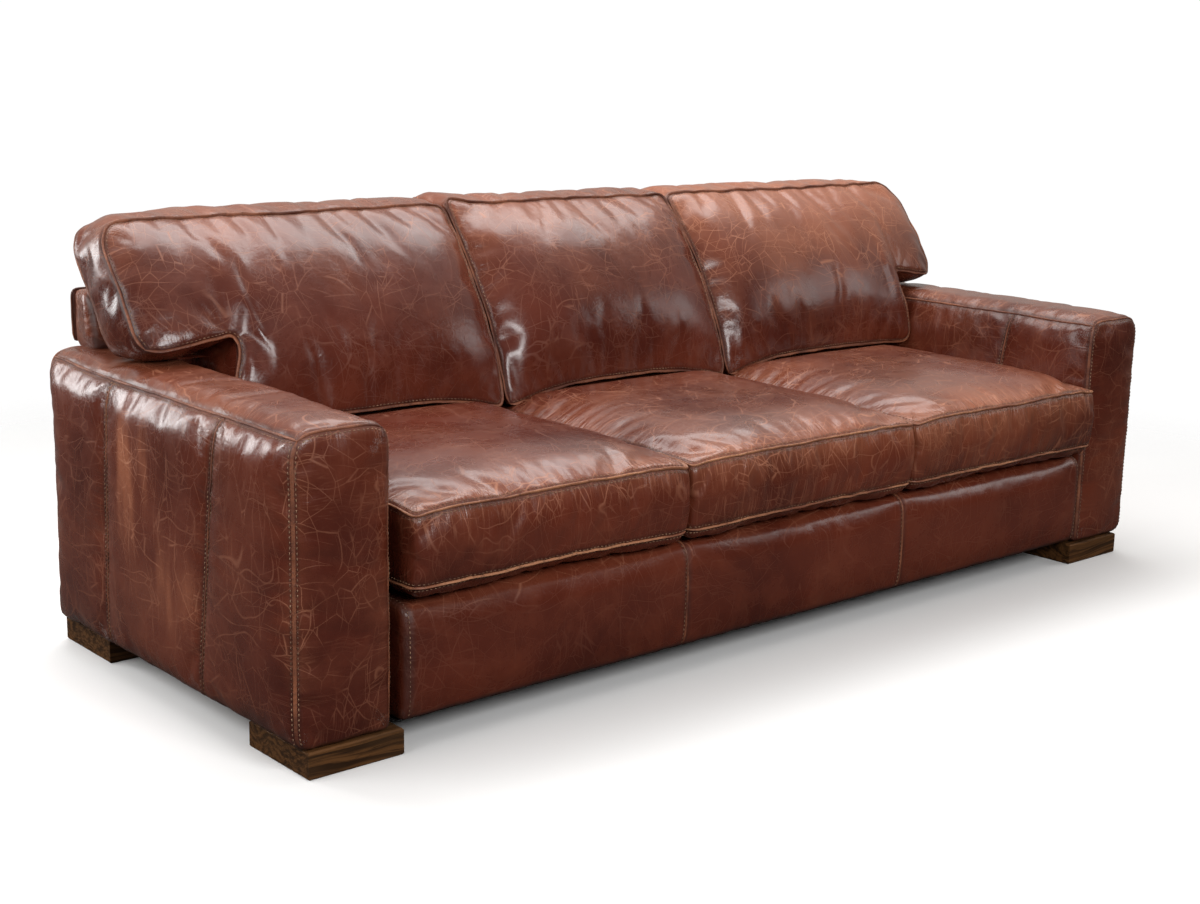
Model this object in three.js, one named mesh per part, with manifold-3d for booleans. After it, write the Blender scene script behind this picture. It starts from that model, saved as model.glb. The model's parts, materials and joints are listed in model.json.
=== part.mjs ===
// A three-seat leather sofa, in millimetres. X runs along the seat, -Y is the front, +Z is up.
// The origin is on the floor, under the middle of the sofa.
//
// Two box arms stand on oak feet and carry everything else. Each arm is a timber box inside a padded
// leather cover. The seat frame and the back frame hang between the arms. Elastic webbing crosses the
// seat frame, and three loose seat cushions and three loose back cushions rest on it. The outer back
// cushions have an ear that laps over the arm.

import * as THREE from "three";
import { mergeVertices } from "three/addons/utils/BufferGeometryUtils.js";
import Module from "manifold-3d";

const wasm = await Module();
wasm.setup();

// ---- Driving dimensions ----

const WIDTH = 2450; // over both arms
const DEPTH = 1000; // cushion fronts to outside back
const HEIGHT = 895; // floor to the top of the back cushions
const SIDES = [
  ["left", -1],
  ["right", 1],
];

const FOOT = { x: 195, y: 198, height: 50, outer: WIDTH / 2 - 35, front: -457, rear: 488, chamfer: 3 };
const ARM = {
  width: 225,
  top: 618,
  front: -464,
  rear: 488,
  side: 31, // leather and foam on each side
  end: 28, // leather and foam at the front and the rear
  pad: 42, // leather and foam on top
  edge: 14,
  topRound: 34,
  bottomRound: 20,
};
const ARM_INNER = WIDTH / 2 - ARM.width;
const BASE = {
  half: ARM_INNER - 2,
  top: 261.5,
  bottom: 70,
  shallowBottom: 120, // of the side rails and the rear rail
  board: 32,
  rearRail: 330,
  crossRail: 335, // out from the middle
  crossRailBottom: 100,
  crossRailTop: 190,
};
const RAIL_COVER = { front: -468, top: 282, bottom: 58, pad: 26, lip: 16, lipRear: -352 };
const BACK = { half: 1150, top: 735, front: 300, topFront: 420, rear: 500, bottom: 285, pad: 22, panel: 11 };
const SEAT = { front: -DEPTH / 2, rear: 284, bottom: 284, seamTop: 447, rearTop: 462, crown: 492, gap: 4 };
const CUSHION_SPLITS = [-345, 325]; // where one cushion ends and the next begins, along X
const CUSHION_END = 10; // the rounding of a cushion's ends
const BACK_CUSHION = {
  foot: 92, // how far back the front of the cushion's foot stands
  topFront: 333,
  topRear: 470,
  round: 30,
  bulge: 30,
  body: ARM_INNER - 4, // half the width between the arms
  ear: 1188, // out to the end of the ear
  earBottom: 624,
};
const GAP = 0.5; // between pieces that touch
const CUT_PAST = 40; // how far a cutting shape runs on past an open side

// ---- Materials ----

const leather = new THREE.MeshStandardMaterial({ color: 0x5e2b1c, roughness: 0.4, metalness: 0 });
const oak = new THREE.MeshStandardMaterial({ color: 0x5a3c20, roughness: 0.55, metalness: 0 });
const timber = new THREE.MeshStandardMaterial({ color: 0xc49a64, roughness: 0.8, metalness: 0 });
const plywood = new THREE.MeshStandardMaterial({ color: 0xb98d58, roughness: 0.85, metalness: 0 });
const webbing = new THREE.MeshStandardMaterial({ color: 0x8f8468, roughness: 0.95, metalness: 0 });
const liningCloth = new THREE.MeshStandardMaterial({ color: 0x1b1a19, roughness: 1, metalness: 0 });
const steel = new THREE.MeshStandardMaterial({ color: 0x8f9296, roughness: 0.35, metalness: 1 });

const sofa = new THREE.Group();

// ---- Shapes ----

// Adds a named mesh to the sofa, with its own material.
function addPiece(name, geometry, material, x = 0, y = 0, z = 0) {
  const mesh = new THREE.Mesh(geometry, material.clone());
  mesh.name = name;
  mesh.position.set(x, y, z);
  sofa.add(mesh);
  return mesh;
}

// A box between two corners, about its own middle. The corners may come in either order along X, so that
// one call makes either side.
function boxBetween(x0, x1, y0, y1, z0, z1) {
  return new THREE.BoxGeometry(Math.abs(x1 - x0), y1 - y0, z1 - z0);
}

function addBoard(name, material, x0, x1, y0, y1, z0, z1) {
  const middle = [(x0 + x1) / 2, (y0 + y1) / 2, (z0 + z1) / 2];
  return addPiece(name, boxBetween(x0, x1, y0, y1, z0, z1), material, ...middle);
}

// A closed shape from corner points [a, b].
function outline(points) {
  return new THREE.Shape(points.map(([a, b]) => new THREE.Vector2(a, b)));
}

// Turns an extrusion so that the shape's two axes lie along Y and Z, and it runs along X.
const ALONG_X = new THREE.Matrix4().makeBasis(
  new THREE.Vector3(0, 1, 0),
  new THREE.Vector3(0, 0, 1),
  new THREE.Vector3(1, 0, 0),
);

// Turns an extrusion so that the shape's two axes lie along X and Z, and it runs along -Y.
const ALONG_Y = new THREE.Matrix4().makeBasis(
  new THREE.Vector3(1, 0, 0),
  new THREE.Vector3(0, 0, 1),
  new THREE.Vector3(0, -1, 0),
);

// A (y, z) profile run from x0 to x1, with its ends rounded by edge.
function runAlongX(shape, x0, x1, edge = 0) {
  const low = Math.min(x0, x1);
  const options = {
    depth: Math.abs(x1 - x0) - 2 * edge,
    bevelEnabled: edge > 0,
    bevelSize: edge,
    bevelThickness: edge,
    bevelOffset: -edge,
    bevelSegments: 3,
    curveSegments: 5,
  };
  return new THREE.ExtrudeGeometry(shape, options).translate(0, 0, low + edge).applyMatrix4(ALONG_X);
}

// A rectangle with round corners, centred on the origin. The top corners and the bottom corners have radii
// of their own.
function roundedRectangle(width, height, topRadius, bottomRadius) {
  const w = width / 2;
  const h = height / 2;
  const shape = new THREE.Shape();
  shape.moveTo(w - bottomRadius, -h);
  shape.absarc(w - bottomRadius, -h + bottomRadius, bottomRadius, -Math.PI / 2, 0);
  shape.absarc(w - topRadius, h - topRadius, topRadius, 0, Math.PI / 2);
  shape.absarc(-w + topRadius, h - topRadius, topRadius, Math.PI / 2, Math.PI);
  shape.absarc(-w + bottomRadius, -h + bottomRadius, bottomRadius, Math.PI, 1.5 * Math.PI);
  return shape;
}

// ---- Solids joined and cut ----

function toSolid(geometry) {
  const bare = geometry.clone();
  bare.deleteAttribute("normal");
  bare.deleteAttribute("uv");
  const merged = mergeVertices(bare, 1e-3);
  return new wasm.Manifold(
    new wasm.Mesh({
      numProp: 3,
      vertProperties: new Float32Array(merged.attributes.position.array),
      triVerts: new Uint32Array(merged.index.array),
    }),
  );
}

function toGeometry(solid) {
  const mesh = solid.getMesh();
  const geometry = new THREE.BufferGeometry();
  geometry.setAttribute("position", new THREE.BufferAttribute(new Float32Array(mesh.vertProperties), 3));
  geometry.setIndex(new THREE.BufferAttribute(new Uint32Array(mesh.triVerts), 1));
  geometry.computeVertexNormals();
  return geometry;
}

// geometry with each of the cutters taken out of it.
function cut(geometry, ...cutters) {
  return toGeometry(cutters.reduce((solid, cutter) => solid.subtract(toSolid(cutter)), toSolid(geometry)));
}

function join(a, b) {
  return toGeometry(toSolid(a).add(toSolid(b)));
}

// A box that stands in its own place, for joining and cutting.
function block(x0, x1, y0, y1, z0, z1) {
  const middle = [(x0 + x1) / 2, (y0 + y1) / 2, (z0 + z1) / 2];
  return boxBetween(x0, x1, y0, y1, z0, z1).translate(...middle);
}

// ---- Bolts ----

const BOLT_RADIUS = 4;
const BOLT_HOLE = 4.6;
const BOLT_HOLE_LENGTH = 140;
const BOLT_SIDES = 16;
const ARM_BOLTS = [
  ["front", -300],
  ["rear", 250],
]; // how far back each stands
const ARM_BOLT_HEIGHT = 200;
const ARM_BOLT_LENGTH = 90;
const FOOT_BOLT = { bottom: 16, top: 92 };

// A flange-head bolt with its head at the origin and its shank along +Y.
function flangeBolt(length) {
  const headRadius = 10;
  const headHeight = 6;
  const profile = [
    [0, -headHeight],
    [headRadius * 0.7, -headHeight],
    [headRadius, -headHeight * 0.3],
    [headRadius, 0],
    [BOLT_RADIUS, 0],
    [BOLT_RADIUS, length - 1],
    [BOLT_RADIUS - 1, length],
    [0, length],
  ];
  return new THREE.LatheGeometry(profile.map(([r, y]) => new THREE.Vector2(r, y)), BOLT_SIDES);
}

// A hole along X for the bolt that joins an arm to the seat frame.
function armBoltHole(side, y) {
  return new THREE.CylinderGeometry(BOLT_HOLE, BOLT_HOLE, BOLT_HOLE_LENGTH, BOLT_SIDES)
    .rotateZ(Math.PI / 2)
    .translate(side * ARM_INNER, y, ARM_BOLT_HEIGHT);
}

// ---- Feet ----

// Four oak blocks, each drilled from above for the double-ended bolt that holds it to the arm.
function addFoot(name, side, front) {
  const centre = [side * (FOOT.outer - FOOT.x / 2), front + FOOT.y / 2];
  const c = FOOT.chamfer;
  const face = outline([
    [-FOOT.x / 2 + c, -FOOT.y / 2 + c],
    [FOOT.x / 2 - c, -FOOT.y / 2 + c],
    [FOOT.x / 2 - c, FOOT.y / 2 - c],
    [-FOOT.x / 2 + c, FOOT.y / 2 - c],
  ]);
  const body = new THREE.ExtrudeGeometry(face, {
    depth: FOOT.height - 2 * c,
    bevelEnabled: true,
    bevelSize: c,
    bevelThickness: c,
    bevelSegments: 1,
  }).translate(0, 0, c);
  const holeBottom = FOOT_BOLT.bottom - GAP;
  const hole = new THREE.CylinderGeometry(BOLT_HOLE, BOLT_HOLE, FOOT.height, BOLT_SIDES)
    .rotateX(Math.PI / 2)
    .translate(0, 0, holeBottom + FOOT.height / 2);
  addPiece(`foot_${name}`, cut(body, hole), oak, ...centre, 0);

  const length = FOOT_BOLT.top - FOOT_BOLT.bottom;
  const bolt = new THREE.CylinderGeometry(BOLT_RADIUS, BOLT_RADIUS, length, BOLT_SIDES).rotateX(Math.PI / 2);
  addPiece(`foot_bolt_${name}`, bolt, steel, ...centre, FOOT_BOLT.bottom + length / 2);
  return centre;
}

// ---- Arms ----

// A timber box of ply panels, end boards, top board and bottom rail, in a padded leather cover that is
// open below. The leather is rolled under the panels, so they stop a little above it.
function addArm(name, side, footCentres) {
  const inner = ARM_INNER + ARM.side + GAP;
  const outer = WIDTH / 2 - ARM.side - GAP;
  const front = ARM.front + ARM.end + GAP;
  const rear = ARM.rear - ARM.end - GAP;
  const bottom = FOOT.height + GAP;
  const ceiling = ARM.top - ARM.pad;
  const panel = 12;
  const board = 32;
  const topBoard = 23;
  const bottomRail = 48;
  const panelBottom = bottom + 12;
  const underTop = ceiling - GAP - topBoard;
  const boltHoles = ARM_BOLTS.map(([, y]) => armBoltHole(side, y));

  const height = ARM.top - bottom;
  const length = ARM.rear - ARM.front;
  const section = roundedRectangle(ARM.width, height, ARM.topRound, ARM.bottomRound);
  const shell = new THREE.ExtrudeGeometry(section, {
    depth: length - 2 * ARM.edge,
    bevelEnabled: true,
    bevelSize: ARM.edge,
    bevelThickness: ARM.edge,
    bevelOffset: -ARM.edge,
    bevelSegments: 3,
    curveSegments: 5,
  })
    .translate(0, 0, -length / 2 + ARM.edge)
    .applyMatrix4(ALONG_Y)
    .translate(side * (ARM_INNER + ARM.width / 2), (ARM.front + ARM.rear) / 2, (ARM.top + bottom) / 2);
  const cavity = block(
    side * (inner - GAP),
    side * (outer + GAP),
    front - GAP,
    rear + GAP,
    bottom - CUT_PAST,
    ceiling,
  );
  addPiece(`arm_cover_${name}`, cut(shell, cavity, ...boltHoles), leather);

  const innerPanel = block(side * inner, side * (inner + panel), front, rear, panelBottom, underTop - GAP);
  addPiece(`arm_inner_panel_${name}`, cut(innerPanel, ...boltHoles), plywood);
  addBoard(
    `arm_outer_panel_${name}`,
    plywood,
    side * (outer - panel),
    side * outer,
    front,
    rear,
    panelBottom,
    underTop - GAP,
  );
  addBoard(`arm_top_board_${name}`, timber, side * inner, side * outer, front, rear, underTop, ceiling - GAP);

  const between = [side * (inner + panel + GAP), side * (outer - panel - GAP)];
  addBoard(`arm_front_board_${name}`, timber, ...between, front, front + board, bottom, underTop - GAP);
  addBoard(`arm_rear_board_${name}`, timber, ...between, rear - board, rear, bottom, underTop - GAP);
  const rail = block(...between, front + board + GAP, rear - board - GAP, bottom, bottom + bottomRail);
  const footHoles = footCentres.map(([x, y]) =>
    new THREE.CylinderGeometry(BOLT_HOLE, BOLT_HOLE, BOLT_HOLE_LENGTH, BOLT_SIDES)
      .rotateX(Math.PI / 2)
      .translate(x, y, bottom),
  );
  addPiece(`arm_bottom_rail_${name}`, cut(rail, ...footHoles), timber);

  for (const [end, y] of ARM_BOLTS) {
    const bolt = flangeBolt(ARM_BOLT_LENGTH).rotateZ((side * Math.PI) / 2);
    addPiece(`arm_bolt_${end}_${name}`, bolt, steel, side * (inner + panel + GAP), y, ARM_BOLT_HEIGHT);
  }
}

for (const [name, side] of SIDES) {
  const centres = [
    addFoot(`front_${name}`, side, FOOT.front),
    addFoot(`rear_${name}`, side, FOOT.rear - FOOT.y),
  ];
  addArm(name, side, centres);
}

// ---- Seat frame ----

// Front, rear and side rails with two cross rails under the joins between the cushions.
const frontRailAt = RAIL_COVER.front + RAIL_COVER.pad + GAP;
const frontRail = [frontRailAt, frontRailAt + BASE.board];
const rearRail = [BASE.rearRail, BASE.rearRail + BASE.board];
addBoard("front_rail", timber, -BASE.half, BASE.half, ...frontRail, BASE.bottom, BASE.top);
addBoard("rear_rail", timber, -BASE.half, BASE.half, ...rearRail, BASE.shallowBottom, BASE.top);
const BETWEEN_RAILS = [frontRail[1] + GAP, rearRail[0] - GAP];
const CROSS_WEBBING_DROP = 3.5;
for (const [name, side] of SIDES) {
  const rail = block(
    side * (BASE.half - BASE.board),
    side * BASE.half,
    ...BETWEEN_RAILS,
    BASE.shallowBottom,
    BASE.top - CROSS_WEBBING_DROP,
  );
  addPiece(`side_rail_${name}`, cut(rail, ...ARM_BOLTS.map(([, y]) => armBoltHole(side, y))), timber);
  const x = BASE.crossRail * side;
  addBoard(
    `cross_rail_${name}`,
    timber,
    x - BASE.board / 2,
    x + BASE.board / 2,
    ...BETWEEN_RAILS,
    BASE.crossRailBottom,
    BASE.crossRailTop,
  );
}

// Elastic webbing, stapled to the tops of the rails. Nine straps run front to back over two that run side
// to side.
const STRAP = { width: 80, thick: 2.5, count: 9, pitch: 215, endInset: 2 };
const CROSS_STRAPS = [
  ["front", -170],
  ["rear", 90],
]; // how far back the middle of each runs
const strapBottom = BASE.top + GAP;
for (let i = 0; i < STRAP.count; i++) {
  const x = (i - (STRAP.count - 1) / 2) * STRAP.pitch;
  addBoard(
    `seat_webbing_${i + 1}`,
    webbing,
    x - STRAP.width / 2,
    x + STRAP.width / 2,
    frontRail[0] + STRAP.endInset,
    rearRail[1] - STRAP.endInset,
    strapBottom,
    strapBottom + STRAP.thick,
  );
}
for (const [name, y] of CROSS_STRAPS) {
  const top = BASE.top - GAP / 2;
  addBoard(
    `cross_webbing_${name}`,
    webbing,
    -BASE.half,
    BASE.half,
    y - STRAP.width / 2,
    y + STRAP.width / 2,
    top - STRAP.thick,
    top,
  );
}

// The black deck cloth on its felt, over the webbing, and the dust cloth that closes the underside.
const DECK = { front: RAIL_COVER.lipRear + GAP, rear: 322, thick: 7 };
const DUST_COVER = { front: -430, rear: 486, bottom: 55.5, top: 57 };
const deckBottom = strapBottom + STRAP.thick + GAP;
const deckTop = deckBottom + DECK.thick;
addBoard("deck_cloth", liningCloth, -BASE.half, BASE.half, DECK.front, DECK.rear, deckBottom, deckTop);
addBoard(
  "dust_cover",
  liningCloth,
  -BASE.half,
  BASE.half,
  DUST_COVER.front,
  DUST_COVER.rear,
  DUST_COVER.bottom,
  DUST_COVER.top,
);

// The padded leather over the front rail: a face with a rounded top edge, a lip over the rail and a hem
// below it.
function frontRailCover() {
  const { front, top, bottom, pad, lip, lipRear } = RAIL_COVER;
  const rearOfFace = front + pad;
  const lipUnderside = top - lip;
  const round = 24;
  const hem = 10;
  const profile = new THREE.Shape();
  profile.moveTo(front, bottom + hem);
  profile.lineTo(front, top - round);
  profile.absarc(front + round, top - round, round, Math.PI, Math.PI / 2, true);
  profile.lineTo(lipRear, top);
  profile.lineTo(lipRear, lipUnderside);
  profile.lineTo(rearOfFace, lipUnderside);
  profile.lineTo(rearOfFace, bottom + hem);
  profile.lineTo(frontRail[1], bottom + hem);
  profile.lineTo(frontRail[1], bottom);
  profile.lineTo(front + hem, bottom);
  profile.absarc(front + hem, bottom + hem, hem, -Math.PI / 2, -Math.PI, true);
  return runAlongX(profile, -BASE.half, BASE.half);
}
addPiece("front_rail_cover", frontRailCover(), leather);

// ---- Back frame ----

// How far forward the sloped face of the back stands at a height.
function backFaceAt(z) {
  const share = (z - BACK.bottom) / (BACK.top - BACK.bottom);
  return BACK.front + (BACK.topFront - BACK.front) * share;
}

// The wedge between the sloped face and the rear plane, from a height up.
function backWedge(fromZ, toZ, inset, rear) {
  return outline([
    [backFaceAt(fromZ) + inset, fromZ],
    [rear, fromZ],
    [rear, toZ],
    [backFaceAt(toZ) + inset, toZ],
  ]);
}

const behindPanel = BACK.rear - BACK.panel;
const overArm = ARM.top + 3;
function backBody(lowHalf, highHalf, fromZ, toZ, shoulderZ, inset, rear, edge) {
  const low = runAlongX(backWedge(fromZ, toZ, inset, rear), -lowHalf, lowHalf, edge);
  const high = runAlongX(backWedge(shoulderZ, toZ, inset, rear), -highHalf, highHalf, edge);
  return join(low, high);
}

// The padded leather over the front, top and sides of the back, open behind and below.
const backEdge = 8;
const backOuter = backBody(
  BASE.half,
  BACK.half,
  BACK.bottom,
  BACK.top,
  overArm,
  0,
  behindPanel - GAP,
  backEdge,
);
const backHollow = backBody(
  BASE.half - BACK.pad,
  BACK.half - BACK.pad,
  BACK.bottom - CUT_PAST,
  BACK.top - BACK.pad,
  overArm + BACK.pad,
  BACK.pad,
  BACK.rear + CUT_PAST,
  0,
);
addPiece("inside_back_cover", cut(backOuter, backHollow), leather);

// The leather-covered board that closes the outside of the back, cut round the arms.
const outsideBack = join(
  block(-BASE.half, BASE.half, behindPanel, BACK.rear, RAIL_COVER.bottom, BACK.top),
  block(-BACK.half, BACK.half, behindPanel, BACK.rear, overArm, BACK.top),
);
addPiece("outside_back_panel", outsideBack, leather);

// Four ply ribs set the slope of the back, and a rail joins their tops.
const RIB = { bottom: 62, step: 268, faceBottom: 300, top: 685, board: 32, at: [-958, -335, 335, 958] };
const ribRear = behindPanel - 2;
const ribFace = (z) => backFaceAt(z) + BACK.pad + 6;
const ribShape = outline([
  [rearRail[1] + GAP, RIB.bottom],
  [ribRear, RIB.bottom],
  [ribRear, RIB.top],
  [ribFace(RIB.top), RIB.top],
  [ribFace(RIB.faceBottom), RIB.faceBottom],
  [ribFace(RIB.faceBottom), RIB.step],
  [rearRail[1] + GAP, RIB.step],
]);
RIB.at.forEach((x, i) => {
  const rib = runAlongX(ribShape, x - RIB.board / 2, x + RIB.board / 2);
  addPiece(`back_rib_${i + 1}`, rib, plywood);
});
const TOP_RAIL = { half: BACK.half - BACK.pad - 2, front: 444 };
addBoard(
  "back_top_rail",
  timber,
  -TOP_RAIL.half,
  TOP_RAIL.half,
  TOP_RAIL.front,
  ribRear,
  RIB.top + GAP,
  BACK.top - BACK.pad - GAP,
);

// ---- Seat cushions ----

// A box cushion: upright edges between two seams, and a crowned top that rises towards the middle.
function seatCushionProfile() {
  const { front, rear, bottom, seamTop, rearTop, crown } = SEAT;
  const corner = 14;
  const profile = new THREE.Shape();
  profile.moveTo(front + corner, bottom);
  profile.lineTo(rear - corner, bottom);
  profile.lineTo(rear, bottom + corner);
  profile.lineTo(rear, rearTop);
  profile.bezierCurveTo(rear - 90, crown - 6, rear - 200, crown, 0, crown);
  profile.bezierCurveTo(front + 290, crown, front + 110, crown - 14, front, seamTop);
  profile.lineTo(front, bottom + corner);
  return profile;
}

const NAMES = ["left", "centre", "right"];
const seatEnds = [-ARM_INNER + 2, ...CUSHION_SPLITS, ARM_INNER - 2];
NAMES.forEach((name, i) => {
  const x0 = seatEnds[i] + SEAT.gap / 2;
  const x1 = seatEnds[i + 1] - SEAT.gap / 2;
  addPiece(`seat_cushion_${name}`, runAlongX(seatCushionProfile(), x0, x1, CUSHION_END), leather);
});

// ---- Back cushions ----

// A soft wedge that leans on the sloped back: thick where it stands on the seat, thin and round at the top.
function backCushionProfile() {
  const { foot, topFront, topRear, round } = BACK_CUSHION;
  const footZ = SEAT.crown + 3;
  const clear = 4;
  const behind = (z) => backFaceAt(z) - clear;
  const low = new THREE.Vector2(foot, footZ + 14);
  const high = new THREE.Vector2(topFront, HEIGHT - round);
  const outward = new THREE.Vector2(low.y - high.y, high.x - low.x).setLength(BACK_CUSHION.bulge / 0.75);
  const frontAt = (share) => new THREE.Vector2().lerpVectors(high, low, share).add(outward);
  const profile = new THREE.Shape();
  profile.moveTo(foot + 12, footZ);
  profile.lineTo(behind(footZ), footZ);
  profile.lineTo(behind(BACK.top), BACK.top);
  profile.lineTo(topRear - 2, HEIGHT - round);
  profile.quadraticCurveTo(topRear, HEIGHT, topRear - round, HEIGHT);
  profile.lineTo(topFront + round, HEIGHT);
  profile.quadraticCurveTo(topFront + 4, HEIGHT, high.x, high.y);
  profile.bezierCurveTo(...frontAt(0.3), ...frontAt(0.7), ...low);
  return profile;
}

// The outer two cushions are wider above the arm, where an ear laps over it.
const backEnds = [-BACK_CUSHION.ear, ...CUSHION_SPLITS, BACK_CUSHION.ear];
NAMES.forEach((name, i) => {
  const x0 = backEnds[i] + SEAT.gap / 2;
  const x1 = backEnds[i + 1] - SEAT.gap / 2;
  const whole = runAlongX(backCushionProfile(), x0, x1, CUSHION_END);
  const side = i - 1;
  const { body, earBottom } = BACK_CUSHION;
  const beside = block(side * body, side * WIDTH, 0, DEPTH / 2, SEAT.crown - CUT_PAST, earBottom);
  addPiece(`back_cushion_${name}`, side === 0 ? whole : cut(whole, beside), leather);
});

export default sofa;
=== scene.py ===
import json
import math

import bmesh
import bpy
import numpy as np
from mathutils import Matrix, Vector, noise
from mathutils.bvhtree import BVHTree


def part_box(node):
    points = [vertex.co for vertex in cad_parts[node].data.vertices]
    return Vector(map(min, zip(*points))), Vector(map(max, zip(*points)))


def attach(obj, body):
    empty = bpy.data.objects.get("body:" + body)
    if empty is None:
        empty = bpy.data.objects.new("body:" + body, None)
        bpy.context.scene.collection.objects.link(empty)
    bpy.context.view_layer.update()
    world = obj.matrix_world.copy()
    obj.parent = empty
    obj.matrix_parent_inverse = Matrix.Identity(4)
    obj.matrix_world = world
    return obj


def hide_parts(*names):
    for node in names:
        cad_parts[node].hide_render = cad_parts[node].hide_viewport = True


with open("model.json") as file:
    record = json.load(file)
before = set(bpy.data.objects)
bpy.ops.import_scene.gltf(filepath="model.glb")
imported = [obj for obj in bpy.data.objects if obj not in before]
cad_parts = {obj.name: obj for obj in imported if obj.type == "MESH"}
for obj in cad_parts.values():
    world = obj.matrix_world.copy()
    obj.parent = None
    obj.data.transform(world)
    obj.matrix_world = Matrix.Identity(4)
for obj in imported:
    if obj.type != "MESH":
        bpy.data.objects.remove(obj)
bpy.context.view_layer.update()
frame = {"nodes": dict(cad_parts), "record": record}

MM = 0.001
scene = bpy.context.scene


# ---- Studio ----
# The sofa stands on a pale floor that fades into a white room. A broad soft box hangs over the seat, one stands to
# the left, one to the front left and a weak one to the right, and a narrow one behind the left arm edges the back.

EYE_PLACE = (-2.680, -2.902, 1.220)
EYE_TURNS = [(-41.03, "Z"), (90 - 12.70, "X"), (1.241, "Z")]  # heading, tilt down from level, and roll, in degrees
EYE_LENS, EYE_SENSOR = 53.48, 36

eye = bpy.data.objects.new("camera", bpy.data.cameras.new("camera"))
eye.data.lens, eye.data.sensor_width = EYE_LENS, EYE_SENSOR
aim = Matrix.Identity(4)
for degrees, axis in EYE_TURNS:
    aim = aim @ Matrix.Rotation(math.radians(degrees), 4, axis)
eye.matrix_world = Matrix.Translation(EYE_PLACE) @ aim
scene.collection.objects.link(eye)
scene.camera = eye
scene.view_settings.view_transform = "Standard"


def soft_box(name, place, target, size, watts):
    light = bpy.data.lights.new(name, "AREA")
    light.shape = "RECTANGLE"
    light.size, light.size_y = size
    light.energy = watts
    lamp = bpy.data.objects.new(name, light)
    facing = (Vector(target) - Vector(place)).to_track_quat("-Z", "Y")
    lamp.matrix_world = Matrix.Translation(place) @ facing.to_matrix().to_4x4()
    lamp.visible_camera = False
    scene.collection.objects.link(lamp)


soft_box("overhead_light", (0.4, 0.8, 2.9), (0.1, -0.1, 0.4), (3.6, 1.2), 58)
soft_box("left_light", (-3.3, 0.0, 1.9), (-0.6, 0.0, 0.4), (2.8, 1.5), 48)
soft_box("front_light", (-1.1, -3.8, 2.3), (0.0, 0.0, 0.4), (1.7, 1.3), 98)
soft_box("right_light", (2.9, -1.8, 1.8), (0.3, 0.1, 0.6), (1.1, 1.1), 9)
soft_box("rear_light", (-2.3, 2.3, 1.2), (-1.1, 0.3, 0.8), (0.7, 1.2), 24)


def add_node(tree, kind, inputs=None, **settings):
    """A node with its sockets set. A socket is given a value, or another node's output to link to."""
    made = tree.nodes.new(kind)
    for key, value in settings.items():
        setattr(made, key, value)
    for key, value in (inputs or {}).items():
        if isinstance(value, bpy.types.NodeSocket):
            tree.links.new(value, made.inputs[key])
        else:
            made.inputs[key].default_value = value
    return made


def room_light(dim, bright):
    """The room is white to look at. As light it is dim in front, and bright above and behind."""
    world = bpy.data.worlds.new("white_room")
    world.use_nodes = True
    tree = world.node_tree
    tree.nodes.clear()
    way = add_node(tree, "ShaderNodeTexCoord").outputs["Generated"]
    above_and_behind = Vector((0.3, 0.45, 0.9)).normalized()
    facing = add_node(
        tree, "ShaderNodeVectorMath", {0: way, 1: above_and_behind}, operation="DOT_PRODUCT"
    ).outputs["Value"]
    strength = add_node(
        tree,
        "ShaderNodeMapRange",
        {"Value": facing, "From Min": 0.0, "From Max": 0.9, "To Min": dim, "To Max": bright},
        interpolation_type="SMOOTHSTEP",
    ).outputs[0]
    seen = add_node(tree, "ShaderNodeLightPath").outputs["Is Camera Ray"]
    lit = add_node(tree, "ShaderNodeBackground", {"Color": (1, 0.95, 0.9, 1), "Strength": strength})
    white = add_node(tree, "ShaderNodeBackground", {"Color": (1, 1, 1, 1), "Strength": 1.02})
    mix = add_node(tree, "ShaderNodeMixShader", {0: seen, 1: lit.outputs[0], 2: white.outputs[0]})
    add_node(tree, "ShaderNodeOutputWorld", {"Surface": mix.outputs[0]})
    scene.world = world


room_light(dim=0.045, bright=0.6)


def pale_floor(radius, fade):
    """A round floor that is gone at radius and starts to fade at fade. It is white to look at, and dull as light."""
    material = bpy.data.materials.new("pale_floor")
    material.use_nodes = True
    tree = material.node_tree
    tree.nodes.clear()
    place = add_node(tree, "ShaderNodeTexCoord").outputs["Object"]
    away = add_node(tree, "ShaderNodeVectorMath", {0: place}, operation="LENGTH").outputs["Value"]
    gone = add_node(
        tree,
        "ShaderNodeMapRange",
        {"Value": away, "From Min": fade, "From Max": radius},
        interpolation_type="SMOOTHSTEP",
    ).outputs[0]
    seen = add_node(tree, "ShaderNodeLightPath").outputs["Is Camera Ray"]
    dull = add_node(tree, "ShaderNodeBsdfDiffuse", {"Color": (0.09, 0.085, 0.08, 1)})
    white = add_node(tree, "ShaderNodeBsdfDiffuse", {"Color": (1.0, 1.0, 1.0, 1)})
    paint = add_node(tree, "ShaderNodeMixShader", {0: seen, 1: dull.outputs[0], 2: white.outputs[0]})
    clear = add_node(tree, "ShaderNodeBsdfTransparent")
    mix = add_node(tree, "ShaderNodeMixShader", {0: gone, 1: paint.outputs[0], 2: clear.outputs[0]})
    add_node(tree, "ShaderNodeOutputMaterial", {"Surface": mix.outputs[0]})
    bm = bmesh.new()
    bmesh.ops.create_circle(bm, cap_ends=True, segments=96, radius=radius)
    mesh = bpy.data.meshes.new("floor")
    bm.to_mesh(mesh)
    bm.free()
    mesh.materials.append(material)
    floor = bpy.data.objects.new("floor", mesh)
    scene.collection.objects.link(floor)


pale_floor(radius=3.3, fade=1.25)


# ---- Feet ----
# Four solid oak blocks, sawn square, stained dark and oiled. The grain runs along the sofa, and a bolt from the arm
# holds each one.


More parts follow.
